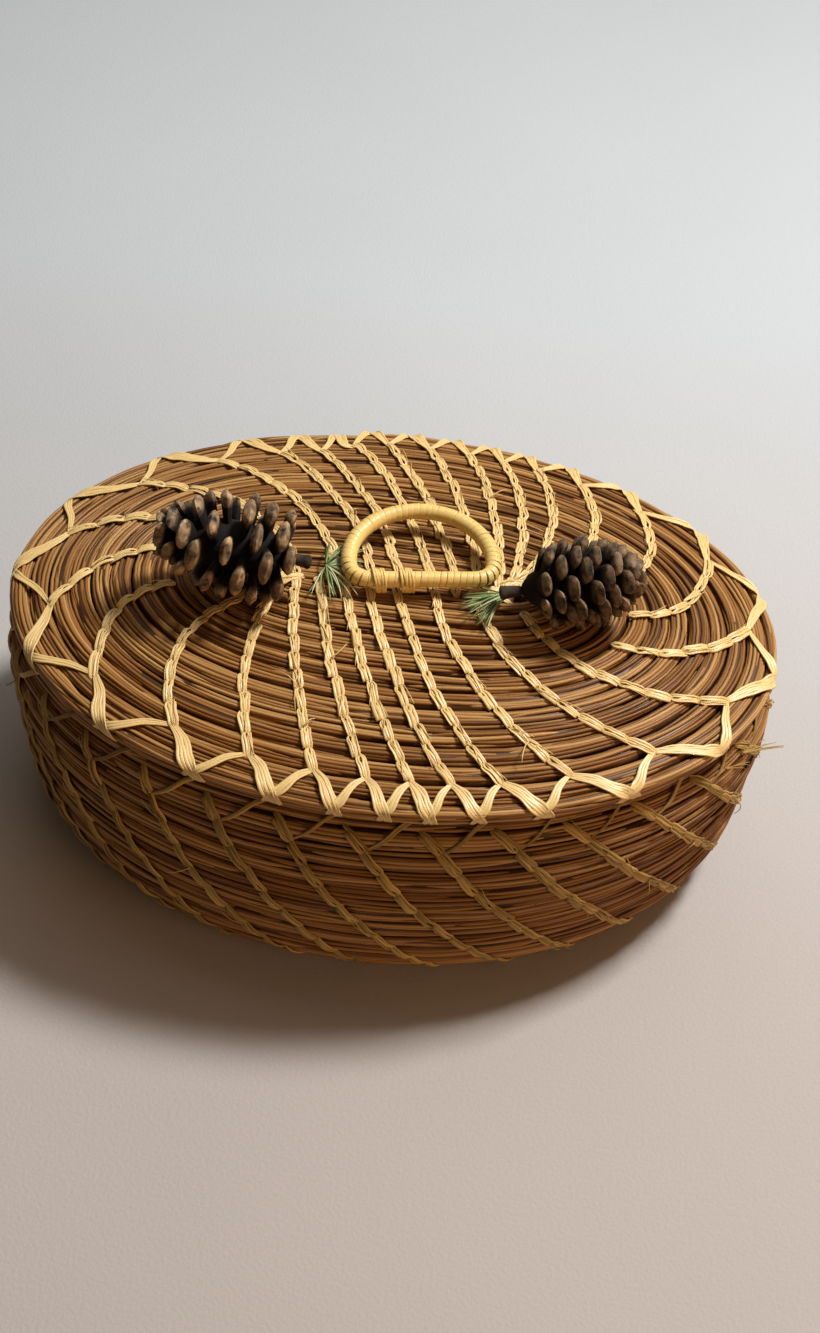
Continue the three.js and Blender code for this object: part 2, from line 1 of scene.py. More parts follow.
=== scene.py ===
"""Oval coiled pine needle basket with a domed lid: its looks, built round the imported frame.

The needle bundles of both coils follow the same rows as the solids: a spiral over an oval floor,
wall and dome. Each bundle is many single needles, swept as strands along the coil. The raffia
stitches cross the rows in slanting chains and end in a zigzag of flat ribbons round each rim.
On the lid lie a wrapped D handle in two ties, two open pine cones and two green sprigs.
"""

from math import cos, pi, radians, sin, sqrt, tau

import bmesh
import bpy
import numpy as np
from bpy.props import FloatProperty, FloatVectorProperty, IntProperty, PointerProperty
from bpy.types import Operator, Panel, PropertyGroup
from mathutils import Matrix, Vector


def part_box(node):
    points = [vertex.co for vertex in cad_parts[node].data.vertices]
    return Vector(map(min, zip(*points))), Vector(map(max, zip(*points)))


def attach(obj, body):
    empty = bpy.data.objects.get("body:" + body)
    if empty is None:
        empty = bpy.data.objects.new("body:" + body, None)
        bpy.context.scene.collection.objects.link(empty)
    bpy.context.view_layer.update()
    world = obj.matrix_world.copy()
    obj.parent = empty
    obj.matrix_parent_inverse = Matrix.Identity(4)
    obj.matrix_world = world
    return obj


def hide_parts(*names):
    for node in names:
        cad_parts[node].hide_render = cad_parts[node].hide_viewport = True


bl_info = {
    "name": "Pine Needle Basket",
    "version": (1, 0, 0),
    "blender": (4, 5, 0),
    "location": "View3D > Sidebar > Basket",
    "description": "Builds an oval coiled basket with a stitched lid, a wrapped handle and pine cones",
    "category": "Object",
}

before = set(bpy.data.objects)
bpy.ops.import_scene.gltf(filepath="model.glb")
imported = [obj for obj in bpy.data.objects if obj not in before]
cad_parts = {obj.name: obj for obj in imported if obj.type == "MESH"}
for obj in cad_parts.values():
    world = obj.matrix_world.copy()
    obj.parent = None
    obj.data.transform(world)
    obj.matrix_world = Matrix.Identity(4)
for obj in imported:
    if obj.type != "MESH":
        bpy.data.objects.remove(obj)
bpy.ops.object.select_all(action="DESELECT")


def distance(name, description, default):
    return FloatProperty(
        name=name, description=description, default=default, subtype="DISTANCE", unit="LENGTH",
        precision=5)


def turning(name, description, degrees):
    return FloatProperty(
        name=name, description=description, default=radians(degrees), subtype="ANGLE", unit="ROTATION")


def share(name, description, default):
    return FloatProperty(
        name=name, description=description, default=default, subtype="FACTOR", min=0, max=1)


def amount(name, description, default):
    return IntProperty(name=name, description=description, default=default, min=1)


def colour(name, description, default):
    return FloatVectorProperty(
        name=name, description=description, default=default, size=3, subtype="COLOR", min=0, max=1)


class CoilSizes(PropertyGroup):
    pitch: distance("Row pitch", "Distance from one coil row to the next", 0.0062)
    height: distance("Row height", "Thickness of a needle bundle", 0.0056)
    foot_flat: distance("Pressed foot", "How flat the rows that rest on the table are", 0.00056)
    end_share: share("End share", "Part of a turn by which the last row stops short", 0.22)
    end_height_share: share("End height", "Height of the bundle where it runs out", 0.9)
    floor_half_length: distance("Floor half length", "To the middle of the floor's edge row", 0.1015)
    floor_half_width: distance("Floor half width", "To the middle of the floor's edge row", 0.073)
    floor_rise: distance("Floor rise", "How much the middle of the floor stands up", 0.0015)
    bulge_half_width: distance("Bulge half width", "Half width of the wall at its widest", 0.0843)
    bulge_height: distance("Bulge height", "Height of the widest row", 0.034)
    mouth_half_length: distance("Mouth half length", "To the middle of the mouth's row", 0.109)
    mouth_half_width: distance("Mouth half width", "To the middle of the mouth's row", 0.073)
    mouth_height: distance("Mouth height", "Height of the middle of the mouth's row", 0.0686)
    lid_overhang: distance("Lid overhang", "How far the lid reaches past the mouth's row", 0.006)
    lid_rise: distance("Lid rise", "How much the lid is domed", 0.009)
    seat_gap: distance("Seat gap", "Clearance between lid and basket", 0.0003)
    ledge_inset: distance("Ledge inset", "From the mouth's row to the ledge's row", 0.0051)
    lower_wall_share: share("Lower wall", "Height of the lower wall's curve handle", 0.25)
    upper_wall_share: share("Upper wall", "Height of the upper wall's curve handle", 0.6)
    centre_roundness: share("Centre roundness", "Flatness of the rows at a coil's centre", 0.4)
    floor_roundness: share("Floor roundness", "Flatness of the rows at the floor's edge", 0.85)


class NeedleSizes(PropertyGroup):
    lanes: amount("Needles round a bundle", "Needles that lie side by side round a bundle", 15)
    radius: distance("Needle radius", "Half the thickness of a needle", 0.00061)
    shortest: distance("Shortest needle", "Length of the shortest needle", 0.07)
    longest: distance("Longest needle", "Length of the longest needle", 0.17)
    step: distance("Step", "Distance between the sections of a needle", 0.0045)
    squareness: share("Squareness", "Section of a bundle, from square at 0 to oval at 1", 0.8)
    swell: distance("Swell", "How far needles lie above or below their neighbours", 0.00034)
    wander: share("Wander", "How far a needle wanders from its lane, in lanes", 0.6)


class RaffiaSizes(PropertyGroup):
    leg_width: distance("Leg width", "Width of one leg of a stitch", 0.00145)
    thickness: distance("Thickness", "Thickness of a strand", 0.0006)
    opening: distance("Opening", "How far a stitch's legs part round its hole", 0.0003)
    valley: distance("Valley", "How deep a stitch dips between two rows", 0.0006)
    lid_lines: amount("Lid lines", "Stitch lines on the lid", 27)
    basket_lines: amount("Basket lines", "Stitch lines on the basket", 30)
    chain_rows: amount("Chain rows", "Rows below the mouth with chains outside", 12)
    back_rows: amount("Back rows", "Rows below the mouth with strands inside", 18)
    lid_back_rows: amount("Lid back rows", "Rows from the lid's rim with strands below", 10)
    lid_shift: distance("Lid shift", "How far the lid's lines shift per row", -0.0035)
    basket_shift: distance("Basket shift", "How far the basket's lines shift per row", 0.0052)
    lid_rim_width: distance("Lid ribbon width", "Width of the broad ribbons round the lid's rim", 0.0050)
    mouth_width: distance("Mouth strand width", "Width of the slanted strands under the mouth", 0.0015)


class HandleSizes(PropertyGroup):
    width: distance("Width", "Outer width of the D", 0.048)
    depth: distance("Depth", "Outer depth of the D", 0.033)
    radius: distance("Radius", "Half the thickness of the wrapped ring", 0.0025)
    corner: distance("Corner", "Size of the rounded corners at the bar's ends", 0.007)
    x: distance("X", "Middle of the bar", 0.008)
    y: distance("Y", "Middle of the bar", -0.002)
    turn: turning("Turn", "Direction of the bar", 9)
    tilt: turning("Tilt", "Tilt of the ring about its bar", 3)
    lift: distance("Lift", "Space between the bar and the stitches below it", 0.001)
    wrap_pitch: distance("Wrap pitch", "Distance from one turn of the wrap to the next", 0.0019)
    tie_left: distance("Left tie", "Distance of the left tie from the middle of the bar", 0.013)
    tie_middle: distance("Middle tie", "Distance of the middle tie from the middle of the bar", 0.005)
    tie_width: distance("Tie width", "Width of a tie", 0.0038)


class ConeSizes(PropertyGroup):
    left_scales: amount("Left scales", "Scales on the left cone", 46)
    right_scales: amount("Right scales", "Scales on the right cone", 66)
    left_heading: turning("Left heading", "Direction of the left cone from its stem", 184)
    right_heading: turning("Right heading", "Direction of the right cone from its stem", 8)
    left_lean: turning("Left lean", "Lean of the left cone's scales at its stem", -10)
    right_lean: turning("Right lean", "Lean of the right cone's scales at its stem", 25)
    left_length: distance("Left length", "Length of the left cone without its stem", 0.037)
    right_length: distance("Right length", "Length of the right cone without its stem", 0.0325)
    left_radius: distance("Left radius", "Reach of the left cone's longest scales", 0.0149)
    right_radius: distance("Right radius", "Reach of the right cone's longest scales", 0.0144)
    tilt: turning("Tilt", "How much lower a cone's stem lies than its tip", 12)
    stem_length: distance("Stem length", "Length of a cone's stem", 0.006)
    left_paleness: share("Left paleness", "How pale the left cone's scales end", 0.8)
    right_paleness: share("Right paleness", "How pale the right cone's scales end", 0.5)
    scale_width: distance("Scale width", "Width of a scale at its outer end", 0.0104)
    scale_thickness: distance("Scale thickness", "Thickness of a scale at its outer end", 0.0050)


class SprigSizes(PropertyGroup):
    needles: amount("Needles", "Needles in a sprig", 34)
    length: distance("Length", "Length of the longest needles", 0.0155)
    radius: distance("Radius", "Half the thickness of a needle", 0.00028)


class FinishColours(PropertyGroup):
    needle_dark: colour("Dark needles", "Oldest and shaded needles", (0.055, 0.021, 0.007))
    needle_mid: colour("Brown needles", "Most of the needles", (0.25, 0.105, 0.026))
    needle_light: colour("Light needles", "The palest needles", (0.45, 0.25, 0.085))
    raffia: colour("Raffia", "Stitches on the lid", (0.70, 0.44, 0.095))
    raffia_dark: colour("Raffia shade", "Streaks and older strands", (0.34, 0.175, 0.038))
    old_raffia: colour("Old raffia", "Stitches on the basket", (0.56, 0.35, 0.105))
    handle: colour("Handle raffia", "The wrapped handle and its ties", (0.66, 0.41, 0.09))
    cone: colour("Cone", "Bodies of the scales", (0.008, 0.0045, 0.003))
    cone_tip: colour("Cone tips", "Outer ends of the scales", (0.60, 0.38, 0.20))
    sprig: colour("Sprig", "Green needles", (0.19, 0.25, 0.085))
    sprig_pale: colour("Pale sprig", "Dry ends of the green needles", (0.56, 0.56, 0.34))
    # Floor and Far floor are the two ends of a painted gradient of light: darker and warmer in front,
    # paler and cooler behind.
    floor: colour("Floor", "The plain floor in front", (0.43, 0.385, 0.352))
    far_floor_painted_light: colour("Far floor", "The plain floor behind", (0.465, 0.49, 0.505))


class StageSizes(PropertyGroup):
    floor_size: distance("Floor size", "Width of the floor", 6.0)
    camera_distance: distance("Camera distance", "From the camera to the point it looks at", 0.5726)
    camera_height_angle: turning("Camera height", "Angle of the camera above the horizon", 47.14)
    camera_side_angle: turning("Camera side", "Turn of the camera to the right of the front", 2.63)
    camera_roll: turning("Camera roll", "Roll of the camera", 4.77)
    target_x: distance("Target X", "Point that the camera looks at, across its view", 0.00633)
    target_y: distance("Target Y", "Point that the camera looks at, along its view", 0.01799)
    target_z: distance("Target Z", "Height of the point that the camera looks at", 0.030)
    focal_pixels: FloatProperty(
        name="Focal length", description="In pixels of a picture 1333 high", default=1755)
    picture_height: FloatProperty(name="Picture height", description="In pixels", default=1333)


GROUPS = {
    "coil_sizes": CoilSizes,
    "needle_sizes": NeedleSizes,
    "raffia_sizes": RaffiaSizes,
    "handle_sizes": HandleSizes,
    "cone_sizes": ConeSizes,
    "sprig_sizes": SprigSizes,
    "finish_colours": FinishColours,
    "stage_sizes": StageSizes,
}

# Sections of strands, in shares of their half width and half thickness
ROUND_SECTION, CORE_SECTION, HAIR_SECTION = (
    np.array([(cos(a), sin(a)) for a in np.arange(sides) * tau / sides]) for sides in (5, 8, 3))

# Step to both sides, as a share of a coil, by which its directions are measured
PROBE_SHARE = 0.002

# Turns from a coil's centre: where its bundle begins, and where its innermost stitches may lie
FIRST_TURN = 0.06
FIRST_STITCH = 0.1

# Turns at which the basket's needles are divided into pieces
WALL_TURNS = (11.5, 17.5)

# Space between a stitch and its row, and how far the lid's stitches rise above the rows
STITCH_GAP = 0.0003
STITCH_RISE = 0.0014

# Turn from one scale of a cone to the next
GOLDEN_ANGLE = pi * (3 - sqrt(5))

# A cone's scale from root to face: share of its reach, of its width and of its thickness
SCALE_STATIONS = (
    (0.40, 0.95, 0.62), (0.68, 1.16, 0.78), (0.86, 1.22, 0.92), (0.96, 1.22, 1.0), (1.0, 1.12, 0.88))

# Seeds of the random differences in each kind of piece
SEEDS = {
    "lid_needles": 11, "ledge": 12, "basket_stitches": 21, "lid_stitches": 22, "handle": 31,
    "cones": 41, "sprigs": 51}

# Where stitch lines stand closer together, as waves round the oval: count, swing and start
LID_WAVES = (
    (1, radians(9.7), radians(104)), (2, radians(19.6), radians(-3)),
    (3, radians(3.9), radians(90)), (4, radians(2.3), radians(5)))
BASKET_WAVES = ((2, radians(3.4), 0.0),)

# Ribbons over the rims: share of the way to the next line, rows from the rim, and lean in degrees
LID_STOPS = (
    (0.21, -1, 0), (0.40, 0, 0), (0.47, 0, 35), (0.52, 0, 60), (0.57, 0, 80), (0.60, 0, 105),
    (0.60, 0, 140))
MOUTH_STOPS = ((0.22, -1, 0), (0.5, 0, 0), (0.62, 0, 40), (0.62, 0, 80), (0.62, 0, 120))

# Frayed ends under the lid: angle, number of fibres and their length
FRAYED_ENDS = ((radians(336), 9, 0.013), (radians(331), 6, 0.009), (radians(208), 6, 0.008))

# Sprigs: the place of the knot, and the first and last direction of the fan
SPRIGS = {
    "left": ((-0.0210, 0.0005), radians(92), radians(-105)),
    "right": ((0.0330, -0.0028), radians(187), radians(248)),
}

# Lamps: name, place, size, power and tint
LAMPS = (
    ("key", (0.50, 0.36, 1.05), 0.2, 17.2, (1.0, 1.0, 1.0)),
    ("sky", (0.1, 0.6, 1.3), 1.2, 4, (1.0, 1.0, 1.0)),
    ("warm", (0.75, -0.55, 0.32), 0.5, 2.6, (1.0, 0.58, 0.30)))
LAMP_AIM = Vector((0, 0, 0.04))
WORLD_TINT = (1.0, 0.72, 0.48, 1.0)
WORLD_STRENGTH = 0.105


def unit(vectors):
    return vectors / np.linalg.norm(vectors, axis=-1, keepdims=True)


def mix(low, high, part):
    return low + (high - low) * part


def smooth(part):
    part = np.clip(part, 0, 1)
    return part * part * (3 - 2 * part)


def bezier(start, control, end, count):
    t = np.linspace(0, 1, count)[:, None]
    start, control, end = (np.asarray(p, float) for p in (start, control, end))
    return (1 - t) ** 2 * start + 2 * t * (1 - t) * control + t ** 2 * end


def waves(position, random, lengths, height):
    """A smooth random curve: sine waves of the given lengths and about the given height."""
    total = np.zeros_like(position)
    for length in lengths:
        total += np.sin(position / length * tau + random.uniform(0, tau)) * random.uniform(0.4, 1)
    return total * height / len(lengths)


class Surface:
    """A coiled wall: half width and height of its rows by distance from its centre."""

    def __init__(self, profile, core, roundness):
        steps = np.linalg.norm(np.diff(profile, axis=0), axis=1)
        self.distances = np.append(0, np.cumsum(steps))
        self.profile = profile
        self.core = core
        self.roundness = roundness
        self.width = self.distances[-1]

    def at(self, part, angle):
        far = np.clip(part, 0, 1) * self.width
        half_width = np.interp(far, self.distances, self.profile[:, 0])
        height = np.interp(far, self.distances, self.profile[:, 1])
        cosine = np.cos(angle)
        reach = np.sign(cosine) * np.abs(cosine) ** self.roundness(half_width, height)
        x = self.core(height) * reach + half_width * cosine
        return np.stack([x, half_width * np.sin(angle), height], axis=-1)


class Coil:
    """A spiral of rows on a surface, with a bundle that thins out over its last turn."""

    core_inset = -0.0001

    def __init__(self, surface, sizes):
        self.surface = surface
        self.sizes = sizes
        self.rows = round(surface.width / sizes.pitch)
        self.end = self.rows + 1 / 2 - sizes.end_share

    def place(self, turn):
        fill = np.minimum(1, self.rows + 1 / 2 - turn)
        centre = np.where(fill < 1, (turn - 1 / 2 + self.rows) / 2, turn)
        return fill, centre / self.rows

    def frames(self, turn):
        turn = np.minimum(turn, self.end)
        fill, part = self.place(turn)
        angle = turn * tau
        point = self.surface.at(part, angle)
        before, after = (
            self.surface.at(self.place(turn + step)[1], angle + step * tau)
            for step in (-PROBE_SHARE, PROBE_SHARE))
        along = unit(after - before)
        inner = np.clip(part - PROBE_SHARE, 0, 1 - 2 * PROBE_SHARE)
        across = self.surface.at(inner + 2 * PROBE_SHARE, angle) - self.surface.at(inner, angle)
        up = unit(np.cross(across, along))
        side = unit(np.cross(along, up))
        room = np.abs(np.sum(across * side, axis=-1)) / (2 * PROBE_SHARE * self.rows)
        height = self.sizes.height / 2 * mix(self.sizes.end_height_share, 1, fill)
        return Frames(point, along, up, side, room * fill / 2, height)

    def rim_turn(self, angle):
        turn = turn_at(self.rows, angle)
        return np.where(turn > self.end, turn - 1, turn)


class Ledge:
    """Two stacked rows of one coil under the lid, level above and below."""

    rows = 2
    core_inset = 0.0007

    def __init__(self, sizes, lid_height):
        self.sizes = sizes
        self.half_length = sizes.mouth_half_length - sizes.ledge_inset
        self.half_width = sizes.mouth_half_width - sizes.ledge_inset
        self.top = lid_height(self.half_width) - sizes.height / 2 - sizes.seat_gap
        self.end = self.rows + 1 - sizes.end_share

    def frames(self, turn):
        angle = turn * tau
        upper = np.maximum(turn - 1, 0)
        lower = np.minimum(turn, self.rows)
        height = self.top - self.sizes.pitch * (upper + lower) / 2
        point = np.stack([
            self.half_length * np.cos(angle), self.half_width * np.sin(angle), height], axis=-1)
        along = unit(np.stack([
            -self.half_length * np.sin(angle), self.half_width * np.cos(angle), 0 * angle], axis=-1))
        up = np.broadcast_to([0.0, 0.0, 1.0], point.shape)
        side = unit(np.cross(along, up))
        half_width = np.full_like(height, self.sizes.height / 2)
        return Frames(point, along, up, side, half_width, self.sizes.pitch * (lower - upper) / 2)


class Frames:
    """Places along a coil: middle, direction, up, side, and half sizes of the bundle there."""

    def __init__(self, point, along, up, side, half_width, half_height):
        self.point, self.along, self.up, self.side = point, along, up, side
        self.half_width, self.half_height = half_width, half_height


def turn_at(row, angle):
    return np.floor(row) + np.mod(angle / tau, 1)


def basket_coil(sizes):
    floor_height = sizes.height / 2 - sizes.foot_flat
    low = mix(floor_height, sizes.bulge_height, sizes.lower_wall_share)
    high = mix(sizes.bulge_height, sizes.mouth_height, sizes.upper_wall_share)
    bulge = (sizes.bulge_half_width, sizes.bulge_height)
    profile = np.concatenate([
        np.linspace((0, floor_height + sizes.floor_rise), (sizes.floor_half_width, floor_height), 800),
        bezier((sizes.floor_half_width, floor_height), (sizes.bulge_half_width, low), bulge, 400)[1:],
        bezier(bulge, (sizes.bulge_half_width, high),
               (sizes.mouth_half_width, sizes.mouth_height), 400)[1:],
    ])
    floor_core = sizes.floor_half_length - sizes.floor_half_width
    mouth_core = sizes.mouth_half_length - sizes.mouth_half_width
    wall = sizes.mouth_height - sizes.bulge_height

    def core(height):
        return mix(floor_core, mouth_core, smooth((height - sizes.bulge_height) / wall))

    def roundness(half_width, height):
        spread = half_width / sizes.floor_half_width
        on_wall = np.clip((height - floor_height) / (sizes.bulge_height - floor_height), 0, 1)
        return np.where(
            (spread < 1) & (height < sizes.bulge_height),
            mix(sizes.centre_roundness, sizes.floor_roundness, spread),
            mix(sizes.floor_roundness, 1, on_wall))

    return Coil(Surface(profile, core, roundness), sizes)


def lid_height(sizes, half_width):
    lid_half_width = sizes.mouth_half_width + sizes.lid_overhang
    rim = sizes.mouth_height + sizes.height + sizes.seat_gap - sizes.lid_rise * (
        1 - (sizes.mouth_half_width / lid_half_width) ** 2)
    return rim + sizes.lid_rise * (1 - (half_width / lid_half_width) ** 2)


def lid_coil(sizes):
    half_width = sizes.mouth_half_width + sizes.lid_overhang
    crown = lid_height(sizes, 0)
    rim = (half_width, lid_height(sizes, half_width))
    profile = bezier((0, crown), (half_width / 2, crown), rim, 1200)
    core = sizes.mouth_half_length - sizes.mouth_half_width
    return Coil(Surface(
        profile,
        lambda height: core,
        lambda width, height: mix(sizes.centre_roundness, 1, width / half_width)), sizes)


def lid_crest(sizes, x, y):
    """Height of the lid's stitches at a place on it."""
    core = sizes.mouth_half_length - sizes.mouth_half_width
    half_width = sizes.mouth_half_width + sizes.lid_overhang
    spread = np.hypot(np.maximum(np.abs(x) - core, 0), y)
    return lid_height(sizes, np.minimum(spread, half_width)) + sizes.height / 2 + STITCH_RISE


class StrandMesh:
    """Gathers swept strands in one mesh, with a lengthwise UV map and a tone for each strand."""

    def __init__(self, random):
        self.random = random
        self.points, self.corners, self.sizes, self.uvs, self.tones = [], [], [], [], []
        self.count = 0

    def add(self, centre, across, over, half_width, half_height, section, tone):
        """Sweeps a section along a line of points. across and over are its axes at each point."""
        rings, sides = len(centre), len(section)
        middle = rings // 2
        forward = centre[middle] - centre[middle - 1]
        if np.dot(np.cross(across[middle], over[middle]), forward) < 0:
            section = section[::-1]
        half_width = np.broadcast_to(half_width, rings)[:, None] * section[None, :, 0]
        half_height = np.broadcast_to(half_height, rings)[:, None] * section[None, :, 1]
        ring = (centre[:, None] + across[:, None] * half_width[..., None]
                + over[:, None] * half_height[..., None])
        steps = np.linalg.norm(np.diff(centre, axis=0), axis=1)
        length = np.append(0, np.cumsum(steps)) + self.random.uniform(0, 10)
        near, side = np.meshgrid(np.arange(rings - 1), np.arange(sides), indexing="ij")
        following = (side + 1) % sides
        quads = np.stack([
            near * sides + side, near * sides + following,
            (near + 1) * sides + following, (near + 1) * sides + side], axis=-1).reshape(-1, 4)
        along = np.stack([length[near], length[near], length[near + 1], length[near + 1]], axis=-1)
        round_it = np.stack([side, side + 1, side + 1, side], axis=-1) / sides
        first = np.arange(sides)[::-1]
        last = (rings - 1) * sides + np.arange(sides)
        self.points.append(ring.reshape(-1, 3))
        self.corners += [quads.ravel() + self.count, first + self.count, last + self.count]
        self.sizes += [np.full(len(quads), 4), [sides, sides]]
        ends = [
            np.stack([np.full(sides, length[i]), np.arange(sides) / sides], axis=-1) for i in (0, -1)]
        self.uvs += [np.stack([along.ravel(), round_it.ravel()], axis=-1), *ends]
        self.tones.append(np.repeat(np.broadcast_to(tone, rings), sides))
        self.count += rings * sides

    def build(self, name, lowest=None):
        points = np.concatenate(self.points)
        if lowest is not None:
            points[:, 2] = np.maximum(points[:, 2], lowest)
        corners = np.concatenate(self.corners)
        sizes = np.concatenate(self.sizes)
        mesh = bpy.data.meshes.new(name)
        mesh.vertices.add(len(points))
        mesh.vertices.foreach_set("co", points.astype(np.float32).ravel())
        mesh.loops.add(len(corners))
        mesh.loops.foreach_set("vertex_index", corners.astype(np.int32))
        mesh.polygons.add(len(sizes))
        mesh.polygons.foreach_set("loop_start", np.append(0, np.cumsum(sizes)[:-1]).astype(np.int32))
        mesh.polygons.foreach_set("use_smooth", sizes == 4)
        layer = mesh.uv_layers.new(name="lengthwise")
        layer.data.foreach_set("uv", np.concatenate(self.uvs).astype(np.float32).ravel())
        tone = mesh.attributes.new("tone", "FLOAT", "POINT")
        tone.data.foreach_set("value", np.concatenate(self.tones).astype(np.float32))
        mesh.update(calc_edges=True)
        mesh.validate()
        piece = bpy.data.objects.new(name, mesh)
        bpy.context.scene.collection.objects.link(piece)
        return piece


def ribbon_section(random, ridges):
    """A flat strand's section: ridged above by its fibres and flat below."""
    across = np.linspace(1, -1, 2 * ridges + 1)
    over = np.where(np.arange(len(across)) % 2, 1.0, 0.6) * random.uniform(0.75, 1, len(across))
    over[[0, -1]] = 0.0
    return np.concatenate([np.stack([across, over], axis=-1), [(-0.7, -0.7), (0.7, -0.7)]])


def stations(coil, start, end, step):
    """Turns along a coil, a step apart but at least 24 to a loop."""
    turns = np.linspace(start, end, int((end - start) * 120))
    points = coil.frames(turns).point
    pace = np.linalg.norm(np.diff(points, axis=0), axis=1) / step
    pace = np.maximum(pace, np.diff(turns) * 24)
    passed = np.append(0, np.cumsum(pace))
    return np.interp(np.arange(int(passed[-1]) + 1), passed, turns)


def needle_bundle(coil, start, end, name, seed):
    """The needles of a stretch of coil: each lane round the bundle holds needle after needle."""
    sizes = bpy.context.scene.needle_sizes
    random = np.random.default_rng(seed)
    turns = stations(coil, start, end, sizes.step)
    frames = coil.frames(turns)
    steps = np.linalg.norm(np.diff(frames.point, axis=0), axis=1)
    passed = np.append(0, np.cumsum(steps))
    strands = StrandMesh(random)
    inside = sizes.radius * 1.2
    last_row = smooth((turns - coil.end + 1.1) * 10)
    # The core that fills the bundle has tone 0, darker than any needle: painted shade where it shows in
    # the gaps between needles.
    strands.add(
        frames.point, frames.side, frames.up, frames.half_width - mix(coil.core_inset, inside, last_row),
        frames.half_height - inside, CORE_SECTION, 0.0)
    for lane in range(sizes.lanes):
        begin = 0
        while begin < len(turns) - 3:
            length = random.uniform(sizes.shortest, sizes.longest)
            stop = int(np.searchsorted(passed, passed[begin] + length)) + 1
            if len(turns) - stop < 4:
                stop = len(turns)
            span = slice(max(begin - 1, 0), stop)
            lay_needle(strands, frames, passed, span, lane, sizes, random)
            begin = stop - 1
    return strands.build(name, lowest=0.0)


def lay_needle(strands, frames, passed, span, lane, sizes, random):
    """One needle, which wanders a little from its lane and sinks between others at its ends."""
    far = passed[span]
    count = len(far)
    part = np.linspace(0, 1, count)
    lane_angle = tau / sizes.lanes
    angle = (lane + random.uniform(-0.2, 0.2)) * lane_angle
    angle = angle + lane_angle * sizes.wander * (
        random.uniform(-0.6, 0.6) * (part - 0.5) + waves(far, random, (0.05, 0.11), 0.7))
    radius = sizes.radius * random.uniform(0.8, 1.15)
    ends = smooth(np.minimum(part, 1 - part) * count / 2.5)
    rise = random.uniform(-1, 0.6) * sizes.swell + waves(far, random, (0.03, 0.07), sizes.swell)
    sunk = (1 - ends) * sizes.radius * 1.1
    wide = frames.half_width[span] - radius + rise - sunk
    high = frames.half_height[span] - radius + rise - sunk
    cosine, sine = np.cos(angle), np.sin(angle)
    out = np.sign(cosine) * np.abs(cosine) ** sizes.squareness * wide
    top = np.sign(sine) * np.abs(sine) ** sizes.squareness * high
    centre = frames.point[span] + frames.side[span] * out[:, None] + frames.up[span] * top[:, None]
    thick = radius * mix(0.45, 1, ends)
    strands.add(
        centre, frames.side[span], frames.up[span], thick, thick, ROUND_SECTION,
        random.uniform(0.16, 0.95))


class Stitching:
    """Stitch lines of one coil: the turn at which each line crosses each row, rim first."""

    def __init__(self, coil, angles, rows, shift, face):
        self.coil, self.angles, self.face = coil, angles, face
        self.turns = [coil.rim_turn(angles) - 2.0]
        for _ in range(rows):
            self.turns.append(self.next_turns(self.turns[-1], shift))
        self.slant = (self.turns[0] - self.turns[1] - 1) * tau

    def next_turns(self, outer, shift):
        """Where the lines cross the next row inwards: square to the rows but for a shift."""
        frames = self.coil.frames(outer)
        wanted = shift(outer, self.angles)
        low, high = outer - 1.25, outer - 0.75
        for _ in range(24):
            middle = (low + high) / 2
            place = self.coil.frames(np.maximum(middle, 0.02)).point
            past = np.sum((place - frames.point) * frames.along, axis=-1) > wanted
            low, high = np.where(past, low, middle), np.where(past, middle, high)
        return (low + high) / 2

    def turn(self, line, step):
        """The turn of a line at a row. Steps below 0 are the rows outside its last whole stitch."""
        if step < 0:
            return float(self.coil.rim_turn(self.angles[line] - step * self.slant[line])) - 2 - step
        return float(self.turns[step][line])

    def crest(self, turn, lean=0.0):
        """Where a strand crosses a row, with the directions out of it and along it."""
        frames = self.coil.frames(np.asarray(turn, float))
        up = frames.up * self.face
        out = unit(up * cos(lean) + frames.side * sin(lean))
        point = (frames.point + up * (frames.half_height + STITCH_GAP)[..., None] * cos(lean)
                 + frames.side * (frames.half_width + STITCH_GAP)[..., None] * sin(lean))
        return point, out, frames.along

    def rim(self, angle, offset=0, lean=0.0):
        """The same at an angle, on the outermost row or on one further in."""
        return self.crest(self.coil.rim_turn(angle) + offset, lean)

    def hole(self, line, step, depth):
        """Between the row of a step and the next row inwards."""
        outer, outer_up, along = self.crest(self.turn(line, step))
        if self.turn(line, step + 1) > FIRST_STITCH:
            inner, inner_up, _ = self.crest(self.turn(line, step + 1))
        else:
            inner, inner_up = 2 * outer - self.crest(self.turn(line, step - 1))[0], outer_up
        up = unit(outer_up + inner_up)
        return (outer + inner) / 2 - up * depth, up, along


def line_angles(count, start, line_waves):
    even = (np.arange(count) + start) / count * tau
    return even + sum(swing * np.sin(times * even + begin) for times, swing, begin in line_waves)


def lid_stitching(coil, sizes, face=1):
    def shift(turn, angles):
        outwards = turn / coil.rows - 0.42
        twice = 2 * angles
        bend = np.maximum(np.sin(twice), 0) ** 3
        evenly = 0.66 - 0.17 * np.sin(twice) - 0.86 * bend
        return sizes.lid_shift * (evenly + (1.5 + np.cos(twice) + 3.4 * bend) * outwards)

    angles = line_angles(sizes.lid_lines, -0.45, LID_WAVES)
    return Stitching(coil, angles, coil.rows - 1, shift, face)


def basket_stitching(coil, sizes, face=-1):
    def shift(turn, angles):
        return np.full_like(turn, sizes.basket_shift)

    angles = line_angles(sizes.basket_lines, 0.7, BASKET_WAVES)
    return Stitching(coil, angles, coil.rows - 4, shift, face)


def arc_between(start, middle, end, low, high, count):
    """A bent line through three places, from one share of its way to another."""
    part = np.linspace(low, high, count)
    handle = 2 * middle - (start + end) / 2
    line = ((1 - part) ** 2)[:, None] * start + (2 * part * (1 - part))[:, None] * handle + (
        part ** 2)[:, None] * end
    return part, line


